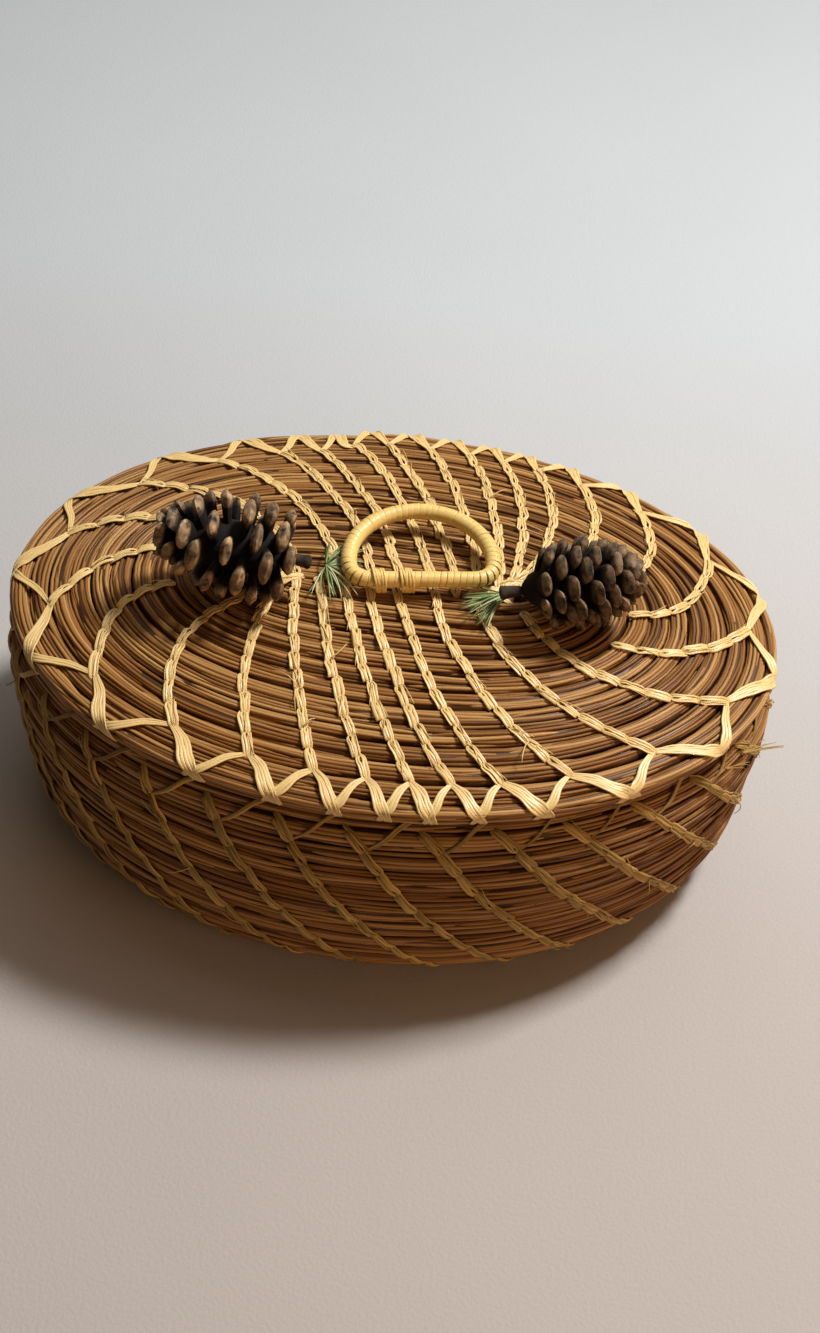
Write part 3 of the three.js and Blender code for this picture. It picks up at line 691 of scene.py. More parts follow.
def stitch_places(stitching, line, step, sizes):
    """A stitch's two holes with the crest between them, up at each, and along the row."""
    start, start_up, _ = stitching.hole(line, step, sizes.valley)
    end, end_up, _ = stitching.hole(line, step - 1, sizes.valley)
    middle, middle_up, along = stitching.crest(stitching.turn(line, step))
    return start, middle, end, (start_up, middle_up, end_up), along


def chain_stitch(strands, stitching, line, step, random, sizes):
    """A stitch over one row: its two legs part round the hole they come from and then lie side by side.

    The long leg goes on into the next hole and the short one ends frayed beside it.
    """
    start, middle, end, ups, along = stitch_places(stitching, line, step, sizes)
    start_up, middle_up, end_up = ups
    across = unit(np.cross(end - start, middle_up))
    across = across * np.sign(np.dot(across, along))
    jog, skew = random.uniform(-0.32, 0.32, 2) * sizes.leg_width
    for side, stop in ((1, random.uniform(1.15, 1.3)), (-1, random.uniform(0.9, 1.2))):
        part, centre = arc_between(start, middle, end, random.uniform(-0.15, -0.05), stop, 8)
        up = unit(mix(start_up, end_up, part[:, None]) + middle_up)
        width = sizes.leg_width * random.uniform(0.7, 1.3)
        parted = sizes.opening * random.uniform(0.7, 1.3) * np.exp(-((part - 0.17) / 0.15) ** 2)
        beside = 0.45 * sizes.leg_width * smooth((part + 0.1) * 5)
        if side > 0:
            beside = beside * mix(1, 0.3, smooth((part - 0.8) * 3))
        apart = side * (beside + parted) + jog + skew * (part - 0.5)
        spread = mix(0.7, 1.0, smooth(part * 2.2)) * mix(1, 0.6, smooth((part - 0.95) * 4))
        lift = random.uniform(0, 0.5) * sizes.thickness
        for lane in (-0.27, 0.27):
            wander = waves(part, random, (0.7, 1.5), 0.12 * width)
            place = centre + across * (apart + lane * width * spread + wander)[:, None] + up * (
                lift - random.uniform(0, 0.4) * sizes.thickness)
            turned = random.uniform(-0.45, 0.45)
            axis = unit(across - up * np.sum(across * up, axis=-1, keepdims=True) + up * turned)
            strands.add(
                place, axis, up, width * 0.3 * spread, sizes.thickness / 2, ribbon_section(random, 2),
                random.uniform(0.2, 1))
    if random.random() < 0.6:
        hair_along(strands, centre, across, up, random, sizes)


def hair_along(strands, centre, across, up, random, sizes):
    """A thin fibre that has come loose from a stitch."""
    part = np.linspace(0, 1, len(centre))
    aside = mix(random.uniform(-1, 1), random.uniform(-1.6, 1.6), part) * sizes.leg_width
    rise = sizes.thickness * (0.6 + random.uniform(0, 1.6) * part)
    place = centre + across * aside[:, None] + up * rise[:, None]
    strands.add(place, np.broadcast_to(across, place.shape), up, 0.00014, 0.00014, HAIR_SECTION,
                random.uniform(0.7, 1))


def ribbon(strands, points, ups, widths, count, random, sizes):
    """A flat ribbon through the given places, made of strands that lie side by side."""
    points, ups = np.asarray(points), np.asarray(ups)
    chord = np.append(0, np.cumsum(np.linalg.norm(np.diff(points, axis=0), axis=1)))
    fine = np.linspace(0, chord[-1], 3 * len(points))
    centre = smooth_line(chord, points, fine)
    up = unit(smooth_line(chord, ups, fine))
    width = np.interp(fine, chord, widths)
    along = unit(np.gradient(centre, axis=0))
    across = unit(np.cross(along, up))
    up = np.cross(across, along)
    for strand in range(count):
        lane = (strand + 0.5) / count - 0.5
        wander = waves(fine, random, (0.006, 0.013), 0.10)
        place = centre + across * (width * (lane * 0.86 + wander * 0.5))[:, None] - up * (
            random.uniform(0, 0.4) * sizes.thickness)
        strands.add(
            place, across, up, width / count * random.uniform(0.5, 0.64), sizes.thickness / 2,
            ribbon_section(random, 2), random.uniform(0.2, 1))


def smooth_line(knots, values, places):
    """Values on a smooth line through knots, by a cubic between each two."""
    slopes = np.gradient(values, knots, axis=0)
    index = np.clip(np.searchsorted(knots, places) - 1, 0, len(knots) - 2)
    span = (knots[index + 1] - knots[index])[:, None]
    t = (places - knots[index])[:, None] / span
    return ((2 * t ** 3 - 3 * t ** 2 + 1) * values[index]
            + (t ** 3 - 2 * t ** 2 + t) * span * slopes[index]
            + (3 * t ** 2 - 2 * t ** 3) * values[index + 1]
            + (t ** 3 - t ** 2) * span * slopes[index + 1])


def rim_ribbon(strands, stitching, line, reach, stops, widths, count, random, sizes):
    """A ribbon from a line's end to the rim, round it and under it, through the given stops."""
    here = stitching.angles[line] + stitching.slant[line] / 2
    places = [stitching.hole(line, -1, sizes.valley)]
    places += [stitching.rim(here + reach * part, rows, radians(lean)) for part, rows, lean in stops]
    points, ups, _ = zip(*places)
    ribbon(strands, points, ups, widths, count, random, sizes)


def rim_zigzag(strands, stitching, random, sizes):
    """Ribbons from each line's end to the rim on both sides of it."""
    count = len(stitching.angles)
    ends = stitching.angles + stitching.slant / 2
    shape = np.array([0.42, 0.8, 1, 0.86, 0.7, 0.6, 0.55, 0.45])
    for line in range(count):
        for other, wide, lanes in (((line + 1) % count, 1.0, 5), (line - 1, 0.62, 3)):
            reach = (ends[other] - ends[line] + pi) % tau - pi
            widths = shape * wide * sizes.lid_rim_width * random.uniform(0.82, 1.1)
            rim_ribbon(strands, stitching, line, reach, LID_STOPS, widths, lanes, random, sizes)


def mouth_strands(strands, stitching, random, sizes):
    """From each line one narrow strand slants back up to the mouth's row and over it."""
    count = len(stitching.angles)
    shape = np.array([0.6, 0.85, 1, 0.95, 0.85, 0.7])
    for line in range(count):
        reach = (stitching.angles[(line + 1) % count] - stitching.angles[line] + pi) % tau - pi
        widths = shape * (sizes.mouth_width * random.uniform(0.6, 1.25))
        lanes = 2 if random.random() < 0.6 else 1
        rim_ribbon(strands, stitching, line, reach, MOUTH_STOPS, widths, lanes, random, sizes)


def slanted_stitches(strands, stitching, first, last, random, sizes):
    """The back of the stitching: one slanted strand over each row."""
    for line in range(len(stitching.angles)):
        for step in range(first, last):
            start, middle, end, ups, along = stitch_places(stitching, line, step, sizes)
            part, centre = arc_between(start, middle, end, -0.05, 1.05, 6)
            centre = centre + along * (sizes.leg_width * (part - 0.5))[:, None]
            up = unit(mix(ups[0], ups[2], part[:, None]) + ups[1])
            across = unit(np.cross(end - start, up))
            strands.add(
                centre, across, up, sizes.leg_width * random.uniform(0.5, 0.65), sizes.thickness / 2,
                ribbon_section(random, 2), random.uniform(0.3, 0.9))


def handle_outline(sizes, count):
    """The D's middle line in its own plane: points and lengths along it, bar first."""
    half = sizes.width / 2 - sizes.radius
    depth = sizes.depth - 2 * sizes.radius
    corner = sizes.corner
    arc = np.linspace(0, pi, 160)[:, None]
    path = np.concatenate([
        np.linspace((0, 0), (half - corner, 0), 20),
        bezier((half - corner, 0), (half, 0), (half, corner), 30)[1:],
        np.concatenate([half * np.cos(arc), corner + (depth - corner) * np.sin(arc)], axis=1)[1:],
        bezier((-half, corner), (-half, 0), (corner - half, 0), 30)[1:],
        np.linspace((corner - half, 0), (0, 0), 20)[1:],
    ])
    passed = np.append(0, np.cumsum(np.linalg.norm(np.diff(path, axis=0), axis=1)))
    places = np.linspace(0, passed[-1], count)
    points = np.stack([np.interp(places, passed, path[:, i]) for i in (0, 1)], axis=-1)
    return np.pad(points, ((0, 0), (0, 1))), places


def handle_place(sizes):
    """Where the handle lies on the lid: its bar's middle and its directions, as a matrix."""
    coils = bpy.context.scene.coil_sizes
    height = lid_crest(coils, sizes.x, sizes.y) + sizes.lift + sizes.radius
    return (Matrix.Translation((sizes.x, sizes.y, height)) @ Matrix.Rotation(sizes.turn, 4, "Z")
            @ Matrix.Rotation(sizes.tilt, 4, "X"))


def placed(points, matrix):
    rotation, move = np.array(matrix.to_3x3()), np.array(matrix.to_translation())
    return points @ rotation.T + move


def wrapped_ring(strands, sizes, random):
    """The bent core and the strip of raffia wound round it, each turn over the edge of the last."""
    matrix = handle_place(sizes)
    path, places = handle_outline(sizes, 200)
    direction = unit(np.gradient(path, axis=0))
    up = np.broadcast_to([0.0, 0.0, 1.0], path.shape)
    out = np.cross(direction, up)
    rotation = Matrix(matrix.to_3x3()).to_4x4()
    core = sizes.radius * 0.72
    strands.add(
        placed(path, matrix), placed(out, rotation), placed(up, rotation), core, core,
        CORE_SECTION, 0.1)
    turns = int(places[-1] / sizes.wrap_pitch)
    steps = 12
    winding = np.arange(turns * steps + 1) / steps
    spot = winding / turns * places[-1] + waves(winding, random, (3.1, 7.7), 0.00018)
    spot = np.clip(spot, 0, places[-1])
    centre = np.stack([np.interp(spot, places, path[:, i]) for i in range(3)], axis=-1)
    along = unit(np.stack([np.interp(spot, places, direction[:, i]) for i in range(3)], axis=-1))
    side = np.cross(along, [0.0, 0.0, 1.0])
    turned = winding * tau
    outward = side * np.cos(turned)[:, None] + np.array([0.0, 0.0, 1.0]) * np.sin(turned)[:, None]
    radius = sizes.radius - 0.0002 + waves(winding, random, (1.7, 4.3), 0.00003)
    shingle = unit(outward + along * 0.035)
    across = unit(along - outward * 0.035)
    strands.add(
        placed(centre + outward * radius[:, None], matrix), placed(across, rotation),
        placed(shingle, rotation), sizes.wrap_pitch * (0.58 + waves(winding, random, (2.3, 5.1), 0.05)),
        0.0002, ribbon_section(random, 3), 0.75 + waves(winding, random, (2.9, 9.1), 0.25))


def tie(strands, sizes, offset, random):
    """Strands of raffia bent over the bar, down to the lid on both sides."""
    matrix = handle_place(sizes)
    rotation = Matrix(matrix.to_3x3()).to_4x4()
    drop = sizes.radius + sizes.lift + 0.0012
    strand_count = 5
    for strand in range(strand_count):
        radius = sizes.radius + 0.00042 + random.uniform(0, 0.0003)
        lane = (strand / (strand_count - 1) - 0.5) * sizes.tie_width * 0.8
        turned = np.linspace(0, pi, 9)
        arch = np.stack([0 * turned, radius * np.cos(turned), radius * np.sin(turned)], axis=-1)
        legs = np.array([[0, radius * 0.4, -drop], [0, radius * 0.86, -drop * 0.55]])
        path = np.concatenate([legs, arch, (legs * [1, -1, 1])[::-1]])
        slant = np.linspace(-1, 1, len(path)) * (0.0009 + random.uniform(-0.0007, 0.0007))
        path[:, 0] = -offset + lane * mix(0.6, 1, np.sin(np.linspace(0, pi, len(path)))) + slant
        outs = path * [0, 1, 1]
        outs[[0, 1, -2, -1], 2] = 0
        outs = unit(outs)
        across = np.broadcast_to([1.0, 0.0, 0.0], path.shape)
        strands.add(
            placed(path, matrix), placed(across, rotation), placed(outs, rotation),
            sizes.tie_width / strand_count * random.uniform(0.45, 0.62), 0.00025,
            ribbon_section(random, 2), random.uniform(0.3, 1))


def pick_faces(piece, test):
    """In edit mode, selects the faces whose middle and normal pass a test."""
    bpy.ops.mesh.select_mode(type="FACE")
    bpy.ops.mesh.select_all(action="DESELECT")
    mesh = bmesh.from_edit_mesh(piece.data)
    mesh.normal_update()
    for face in mesh.faces:
        if test(face.calc_center_median(), face.normal):
            face.select_set(True)
    bmesh.update_edit_mesh(piece.data)


def apply_place(piece):
    """Puts a piece's place into its mesh."""
    bpy.ops.object.select_all(action="DESELECT")
    piece.select_set(True)
    bpy.context.view_layer.objects.active = piece
    bpy.ops.object.transform_apply(location=True, rotation=True, scale=True)


def subdivided(piece, levels):
    """Finishes a piece with a subdivision surface."""
    modifier = piece.modifiers.new("smooth", "SUBSURF")
    modifier.levels = modifier.render_levels = levels
    bpy.context.view_layer.objects.active = piece
    bpy.ops.object.modifier_apply(modifier=modifier.name)


def give_tone(piece, tone):
    """Sets the tone of each vertex from its place."""
    places = np.empty(len(piece.data.vertices) * 3)
    piece.data.vertices.foreach_get("co", places)
    values = np.broadcast_to(tone(places.reshape(-1, 3)), len(piece.data.vertices))
    layer = piece.data.attributes.get("tone") or piece.data.attributes.new("tone", "FLOAT", "POINT")
    layer.data.foreach_set("value", values.astype(np.float32))


def brighten(piece, times):
    """Multiplies the tone of each vertex."""
    layer = piece.data.attributes["tone"]
    values = np.empty(len(layer.data), np.float32)
    layer.data.foreach_get("value", values)
    layer.data.foreach_set("value", values * np.float32(times))


def model_scale(sizes, reach):
    """A woody scale along +X from its thin root to its thick outer end with a lozenge for a face."""
    wide, thick = sizes.scale_width * 1.08, sizes.scale_thickness * 1.1
    bpy.ops.mesh.primitive_cylinder_add(
        vertices=6, radius=0.5, depth=1, location=(0.08 * reach, 0, 0), rotation=(0, pi / 2, 0))
    piece = bpy.context.object
    piece.scale = (0.25 * thick, 0.25 * wide, 0.04 * reach)
    apply_place(piece)
    bpy.ops.object.mode_set(mode="EDIT")
    far, width, height = 0.10 * reach, 0.25, 0.25
    for x, next_width, next_height in SCALE_STATIONS:
        pick_faces(piece, lambda middle, normal: normal.x > 0.9 and middle.x > far - 1e-5)
        bpy.ops.mesh.extrude_region_move(TRANSFORM_OT_translate={"value": (x * reach - far, 0, 0)})
        far = x * reach
        bpy.ops.transform.resize(
            value=(1, next_width / width, next_height / height), center_override=(far, 0, 0))
        width, height = next_width, next_height
    pick_faces(piece, lambda middle, normal: normal.x > 0.9 and middle.x > far - 1e-5)
    bpy.ops.transform.edge_crease(value=0.9)
    bpy.ops.mesh.inset(thickness=0.34 * thick)
    bpy.ops.transform.translate(value=(0.26 * thick, 0, 0))
    bpy.ops.object.mode_set(mode="OBJECT")
    subdivided(piece, 1)
    for vertex in piece.data.vertices:
        vertex.co.z -= 8.0 * vertex.co.y ** 2 * (vertex.co.x / reach)

    def tone(place):
        far = place[:, 0] / reach
        ridge = np.exp(-(place[:, 1] / (0.22 * wide)) ** 2) * smooth((far - 0.96) / 0.05)
        return smooth((far - 0.78) / 0.14) * (1 - 0.4 * ridge)

    give_tone(piece, tone)
    return piece


def cone_reach(part):
    return sin(pi * mix(0.25, 0.86, part)) ** 0.7


def model_cone(name, random, sizes):
    """A pine cone along +Y from its stem, laid where the solid lies."""
    length, radius, heading, scales, lean, paleness = (
        getattr(sizes, f"{name}_{key}")
        for key in ("length", "radius", "heading", "scales", "lean", "paleness"))
    parts = []
    scale = model_scale(sizes, radius)
    crowding = (32 / scales) ** 0.5
    for index in range(scales):
        part = (index + 0.5) / scales
        reach = cone_reach(part)
        turned = index * GOLDEN_ANGLE + random.uniform(-0.08, 0.08)
        pitch = mix(lean, radians(68), part ** 2) + random.uniform(-0.09, 0.09)
        outward = Vector((cos(turned), 0, sin(turned)))
        axis = Vector((0, 1, 0))
        along = outward * cos(pitch) + axis * sin(pitch)
        across = axis.cross(outward)
        over = along.cross(across)
        broad = mix(0.35, 1, reach) * random.uniform(0.88, 1.1) * crowding
        matrix = Matrix((along * reach, across * broad, over * broad)).transposed().to_4x4()
        matrix.translation = axis * (part * length * 0.86 + (1 - part) * 0.002)
        copy = scale.copy()
        copy.data = scale.data.copy()
        copy.data.transform(matrix)
        brighten(copy, paleness * random.uniform(0.65, 1.35))
        bpy.context.scene.collection.objects.link(copy)
        parts.append(copy)
    bpy.data.objects.remove(scale)
    parts += cone_core(length, radius, sizes)
    bpy.ops.object.select_all(action="DESELECT")
    for part in parts:
        part.select_set(True)
    bpy.context.view_layer.objects.active = parts[0]
    bpy.ops.object.join()
    cone = bpy.context.object
    cone.name = cone.data.name = f"pine_cone_{name}"
    cone.data.transform(Matrix.Rotation(heading - pi / 2, 4, "Z") @ Matrix.Rotation(sizes.tilt, 4, "X"))
    low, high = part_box(f"cone_{name}")
    places = np.array([vertex.co for vertex in cone.data.vertices])
    middle = (places.min(axis=0) + places.max(axis=0)) / 2
    move = Vector(((low + high) / 2)) - Vector(middle)
    move.z = low.z - places[:, 2].min()
    cone.data.transform(Matrix.Translation(move))
    cone.data.polygons.foreach_set("use_smooth", np.ones(len(cone.data.polygons), bool))
    cone.data.set_sharp_from_angle(angle=radians(38))
    return cone


def cone_core(length, radius, sizes):
    """The axis that carries the scales, and the stem with its knob."""
    bpy.ops.mesh.primitive_uv_sphere_add(
        segments=12, ring_count=8, radius=1, location=(0, length * 0.45, 0))
    core = bpy.context.object
    core.scale = (radius * 0.5, length * 0.47, radius * 0.5)
    apply_place(core)
    give_tone(core, lambda place: 0.0)
    bpy.ops.mesh.primitive_cylinder_add(
        vertices=12, radius=sizes.stem_length * 0.3, depth=sizes.stem_length,
        location=(0, -sizes.stem_length * 0.3, 0), rotation=(pi / 2, 0, 0))
    stem = bpy.context.object
    apply_place(stem)
    bpy.ops.object.mode_set(mode="EDIT")
    pick_faces(stem, lambda middle, normal: normal.y < -0.9)
    end = (0, -sizes.stem_length * 0.8, 0)
    bpy.ops.mesh.extrude_region_move(TRANSFORM_OT_translate={"value": (0, -sizes.stem_length * 0.1, 0)})
    bpy.ops.transform.resize(value=(1.4, 1, 1.4), center_override=end)
    bpy.ops.mesh.extrude_region_move(TRANSFORM_OT_translate={"value": (0, -sizes.stem_length * 0.2, 0)})
    bpy.ops.transform.resize(value=(0.7, 1, 0.7), center_override=end)
    bpy.ops.object.mode_set(mode="OBJECT")
    subdivided(stem, 1)
    give_tone(stem, lambda place: 0.1)
    return [core, stem]


def lay_fibre(strands, centre, out, thick, section, tone):
    """A thin strand along a line of places."""
    along = unit(np.gradient(centre, axis=0))
    across = unit(np.cross(along, out))
    strands.add(centre, across, np.cross(across, along), thick, thick, section, tone)


def lay_sprig(strands, knot, first, last, sizes, random):
    """Needles that fan out from a knot, low over the lid."""
    coils = bpy.context.scene.coil_sizes
    for index in range(sizes.needles):
        part = index / (sizes.needles - 1)
        heading = mix(first, last, part) + random.uniform(-0.2, 0.2)
        length = sizes.length * random.uniform(0.6, 1)
        far = np.linspace(0, length, 8)
        bend = random.uniform(-0.35, 0.35)
        angle = heading + bend * far / length
        x = knot[0] + far * np.cos(angle)
        y = knot[1] + far * np.sin(angle)
        arch = random.uniform(0.03, 0.15) * length
        height = lid_crest(coils, x, y) + 0.0006 + arch * np.sin(np.linspace(0.25, 1, 8) * pi) + 0.0004
        centre = np.stack([x, y, height], axis=-1)
        thick = sizes.radius * np.array([0.9, 1, 1, 1, 0.9, 0.8, 0.6, 0.25])
        tone = 0.9 if random.random() < 0.3 else random.uniform(0, 0.5)
        lay_fibre(strands, centre, [0.0, 0.0, 1.0], thick, ROUND_SECTION, tone)


def loose_ends(strands, stitching, count, rows, random):
    """Fibres that stick out of the stitches here and there."""
    for _ in range(count):
        line = int(random.integers(len(stitching.angles)))
        step = int(random.integers(0, rows))
        start, out, along = stitching.hole(line, step, 0.0)
        aside = unit(along * random.uniform(-1, 1) + np.cross(along, out) * random.uniform(-1, 1))
        length = random.uniform(0.003, 0.009)
        part = np.linspace(0, 1, 8)[:, None]
        rise = out * (length * 0.3 * np.sin(part * random.uniform(1.6, 3.0)))
        curl = np.cross(out, aside) * (length * random.uniform(-0.6, 0.6) * part ** 2)
        centre = start + rise + aside * (length * part) + curl
        thick = random.uniform(0.00012, 0.00028) * np.linspace(1, 0.5, 8)
        lay_fibre(strands, centre, out, thick, ROUND_SECTION, random.uniform(0.7, 1))


def frayed_end(strands, stitching, angle, count, length, random):
    """The end of a strand that has come undone under the lid, as a tuft of fibres."""
    start, out, along = stitching.rim(angle, -1)
    for _ in range(count):
        reach = length * random.uniform(0.5, 1.1)
        part = np.linspace(0, 1, 9)[:, None]
        ahead = unit(along * random.uniform(0.3, 1) + out * random.uniform(0.1, 0.5))
        droop = np.array([0, 0, -1]) * (reach * random.uniform(-0.1, 0.5) * part ** 2)
        centre = start + out * 0.0008 + ahead * (reach * part) + droop
        thick = random.uniform(0.00014, 0.00038) * np.linspace(1, 0.4, 9)
        lay_fibre(strands, centre, out, thick, HAIR_SECTION, random.uniform(0.8, 1))


def add_node(tree, kind, **settings):
    """A shader node with its settings, and its inputs by name as values or links."""
    node = tree.nodes.new(kind)
    inputs = settings.pop("inputs", {})
    for key, value in settings.items():
        setattr(node, key, value)
    for key, value in inputs.items():
        if isinstance(value, bpy.types.NodeSocket):
            tree.links.new(value, node.inputs[key])
        else:
            node.inputs[key].default_value = value
    return node


def new_group(name, inputs, outputs):
    tree = bpy.data.node_groups.new(name, "ShaderNodeTree")
    for label, kind, default in inputs:
        socket = tree.interface.new_socket(label, in_out="INPUT", socket_type=kind)
        socket.default_value = default
    for label, kind in outputs:
        tree.interface.new_socket(label, in_out="OUTPUT", socket_type=kind)
    return tree, tree.nodes.new("NodeGroupInput"), tree.nodes.new("NodeGroupOutput")


def maths(tree, operation, first, second=0.0, third=0.0, clamp=False):
    inputs = {0: first, 1: second, 2: third}
    return add_node(
        tree, "ShaderNodeMath", operation=operation, use_clamp=clamp, inputs=inputs).outputs[0]


def noise(tree, place, scale, detail, roughness=0.5):
    inputs = {"Vector": place, "Scale": scale, "Detail": detail, "Roughness": roughness}
    return add_node(tree, "ShaderNodeTexNoise", inputs=inputs).outputs["Fac"]


def new_material(name):
    material = bpy.data.materials.new(name)
    material.use_nodes = True
    return material, material.node_tree, material.node_tree.nodes["Principled BSDF"]


def add_relief(tree, shader, strength, depth, height):
    relief = add_node(
        tree, "ShaderNodeBump", inputs={"Strength": strength, "Distance": depth, "Height": height})
    tree.links.new(relief.outputs["Normal"], shader.inputs["Normal"])


def blended(tree, factor, low, high):
    """Mixes two colours. A colour is a link or four numbers."""
    node = add_node(tree, "ShaderNodeMix", data_type="RGBA", inputs={0: factor, 6: low, 7: high})
    return node.outputs[2]


def fibre_group():
    """Streaks that run along a strand, other ones on each strand, and the strand's own tone."""
    tree, given, result = new_group(
        "fibre_streaks",
        [("Along", "NodeSocketFloat", 100.0), ("Across", "NodeSocketFloat", 4.0)],
        [("Streaks", "NodeSocketFloat"), ("Blotches", "NodeSocketFloat"), ("Tone", "NodeSocketFloat")])
    tone = add_node(tree, "ShaderNodeAttribute", attribute_name="tone").outputs["Fac"]
    place = add_node(tree, "ShaderNodeUVMap", uv_map="lengthwise").outputs["UV"]
    parts = add_node(tree, "ShaderNodeSeparateXYZ", inputs={0: place})
    along = maths(tree, "MULTIPLY", parts.outputs["X"], given.outputs["Along"])
    across = maths(tree, "MULTIPLY", parts.outputs["Y"], given.outputs["Across"])
    apart = maths(tree, "MULTIPLY", tone, 53.0)
    spot = add_node(tree, "ShaderNodeCombineXYZ", inputs={0: along, 1: across, 2: apart}).outputs[0]
    slow = add_node(tree, "ShaderNodeCombineXYZ", inputs={0: along, 1: apart}).outputs[0]
    streaks, blotches = noise(tree, spot, 1.0, 3.0), noise(tree, slow, 0.8, 1.0)
    for label, value in (("Streaks", streaks), ("Blotches", blotches), ("Tone", tone)):
        tree.links.new(value, result.inputs[label])
    return tree


def tinted_group():
    """Three colours by tone, shifted by streaks."""
    tree, given, result = new_group(
        "tinted_strand",
        [("Tone", "NodeSocketFloat", 0.5), ("Streaks", "NodeSocketFloat", 0.5),
         ("Contrast", "NodeSocketFloat", 0.6), ("Dark", "NodeSocketColor", (0, 0, 0, 1)),
         ("Mid", "NodeSocketColor", (0.5, 0.5, 0.5, 1)), ("Light", "NodeSocketColor", (1, 1, 1, 1))],
        [("Color", "NodeSocketColor"), ("Factor", "NodeSocketFloat")])
    shifted = maths(tree, "SUBTRACT", given.outputs["Streaks"], 0.5)
    shifted = maths(tree, "MULTIPLY", shifted, given.outputs["Contrast"])
    factor = maths(tree, "ADD", given.outputs["Tone"], shifted, clamp=True)
    low = maths(tree, "MULTIPLY", factor, 2.0, clamp=True)
    high = maths(tree, "MULTIPLY_ADD", factor, 2.0, -1.0, clamp=True)
    mid = blended(tree, low, given.outputs["Dark"], given.outputs["Mid"])
    top = blended(tree, high, mid, given.outputs["Light"])
    tree.links.new(top, result.inputs["Color"])
    tree.links.new(factor, result.inputs["Factor"])
    return tree


def opaque(value):
    return (*value, 1.0)


def strand_material(name, dark, mid, light, along, across, contrast, roughness, bump, gloss):
    """A fibrous strand: streaked colour, gloss and relief that follow its length."""
    material, tree, shader = new_material(name)
    fibre = tree.nodes.new("ShaderNodeGroup")
    fibre.node_tree = bpy.data.node_groups.get("fibre_streaks") or fibre_group()
    fibre.inputs["Along"].default_value = along
    fibre.inputs["Across"].default_value = across
    tint = tree.nodes.new("ShaderNodeGroup")
    tint.node_tree = bpy.data.node_groups.get("tinted_strand") or tinted_group()
    both = maths(tree, "ADD", fibre.outputs["Streaks"], fibre.outputs["Blotches"])
    both = maths(tree, "MULTIPLY", both, 0.5)
    for label, value in (("Tone", fibre.outputs["Tone"]), ("Streaks", both)):
        tree.links.new(value, tint.inputs[label])
    tint.inputs["Contrast"].default_value = contrast
    for label, value in (("Dark", dark), ("Mid", mid), ("Light", light)):
        tint.inputs[label].default_value = opaque(value)
    tree.links.new(tint.outputs["Color"], shader.inputs["Base Color"])
    dull = maths(tree, "MULTIPLY_ADD", fibre.outputs["Streaks"], 0.25, roughness - 0.12)
    tree.links.new(dull, shader.inputs["Roughness"])
    shader.inputs["Specular IOR Level"].default_value = gloss
    warm = [0.5 + 0.5 * part / max(light) for part in light]
    shader.inputs["Specular Tint"].default_value = opaque(warm)
    add_relief(tree, shader, 0.6, bump, fibre.outputs["Streaks"])
    return material


def cone_material(name, colours):
    """Dark wood with weathered, mottled outer ends."""
    material, tree, shader = new_material(name)
    place = add_node(tree, "ShaderNodeTexCoord").outputs["Object"]
    mottle = noise(tree, place, 260.0, 5.0, 0.7)
    tone = add_node(tree, "ShaderNodeAttribute", attribute_name="tone").outputs["Fac"]
    spread = maths(tree, "SUBTRACT", mottle, 0.36)
    spread = maths(tree, "MULTIPLY", spread, 3.6, clamp=True)
    worn = maths(tree, "MULTIPLY", tone, spread, clamp=True)
    shown = blended(tree, worn, opaque(colours.cone), opaque(colours.cone_tip))
    tree.links.new(shown, shader.inputs["Base Color"])
    dull = maths(tree, "SUBTRACT", 0.9, maths(tree, "MULTIPLY", tone, 0.5))
    tree.links.new(dull, shader.inputs["Roughness"])
    shader.inputs["Specular IOR Level"].default_value = 0.3
    add_relief(tree, shader, 0.7, 0.0004, mottle)
    return material


def finish(piece, material, body, nodes):
    """Gives a piece its material and its place in the frame."""
    piece.data.materials.clear()
    piece.data.materials.append(material)
    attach(piece, body)
    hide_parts(*nodes)


def shaded(colour_value, part):
    return [part * value for value in colour_value]


def strand_kinds():
    """Colours, streaks along and round a strand, contrast, roughness, relief and gloss by material."""
    colours = bpy.context.scene.finish_colours
    dark, old = colours.raffia_dark, colours.old_raffia
    return {
        "pine_needles": (
            colours.needle_dark, colours.needle_mid, colours.needle_light,
            60, 3, 0.75, 0.42, 0.00012, 0.35),
        "raffia": (shaded(dark, 0.55), dark, colours.raffia, 120, 14, 1.0, 0.55, 0.00018, 0.3),
        "old_raffia": (shaded(old, 0.35), shaded(old, 0.6), old, 120, 14, 1.0, 0.6, 0.00018, 0.25),
        "handle_raffia": (shaded(dark, 0.5), dark, colours.handle, 90, 14, 0.8, 0.5, 0.00012, 0.35),
        "green_needles": (
            colours.sprig, colours.sprig, colours.sprig_pale, 80, 3, 0.5, 0.4, 0.0001, 0.5),
    }


def shared_material(name):
    """A material that pieces share: the frame's plain one of that name, or else a strand material."""
    # The frame has materials named raffia and handle_raffia, so those two are always the plain ones
    return bpy.data.materials.get(name) or strand_material(name, *strand_kinds()[name])


class BASKET_OT_basket_needles(Operator):
    """Coils the basket's needle bundles: floor, lower wall and upper wall"""

    bl_idname = "basket.basket_needles"
    bl_label = "Basket Needles"

    def execute(self, context):
        coil = basket_coil(context.scene.coil_sizes)
        turns = (FIRST_TURN, *WALL_TURNS, coil.end)
        names = ("floor", "lower_wall", "upper_wall")
        for seed, (name, start, end) in enumerate(zip(names, turns, turns[1:])):
            piece = needle_bundle(coil, start, end, f"basket_needles_{name}", seed)
            finish(piece, shared_material("pine_needles"), "basket", ["basket_coil"])
        return {"FINISHED"}


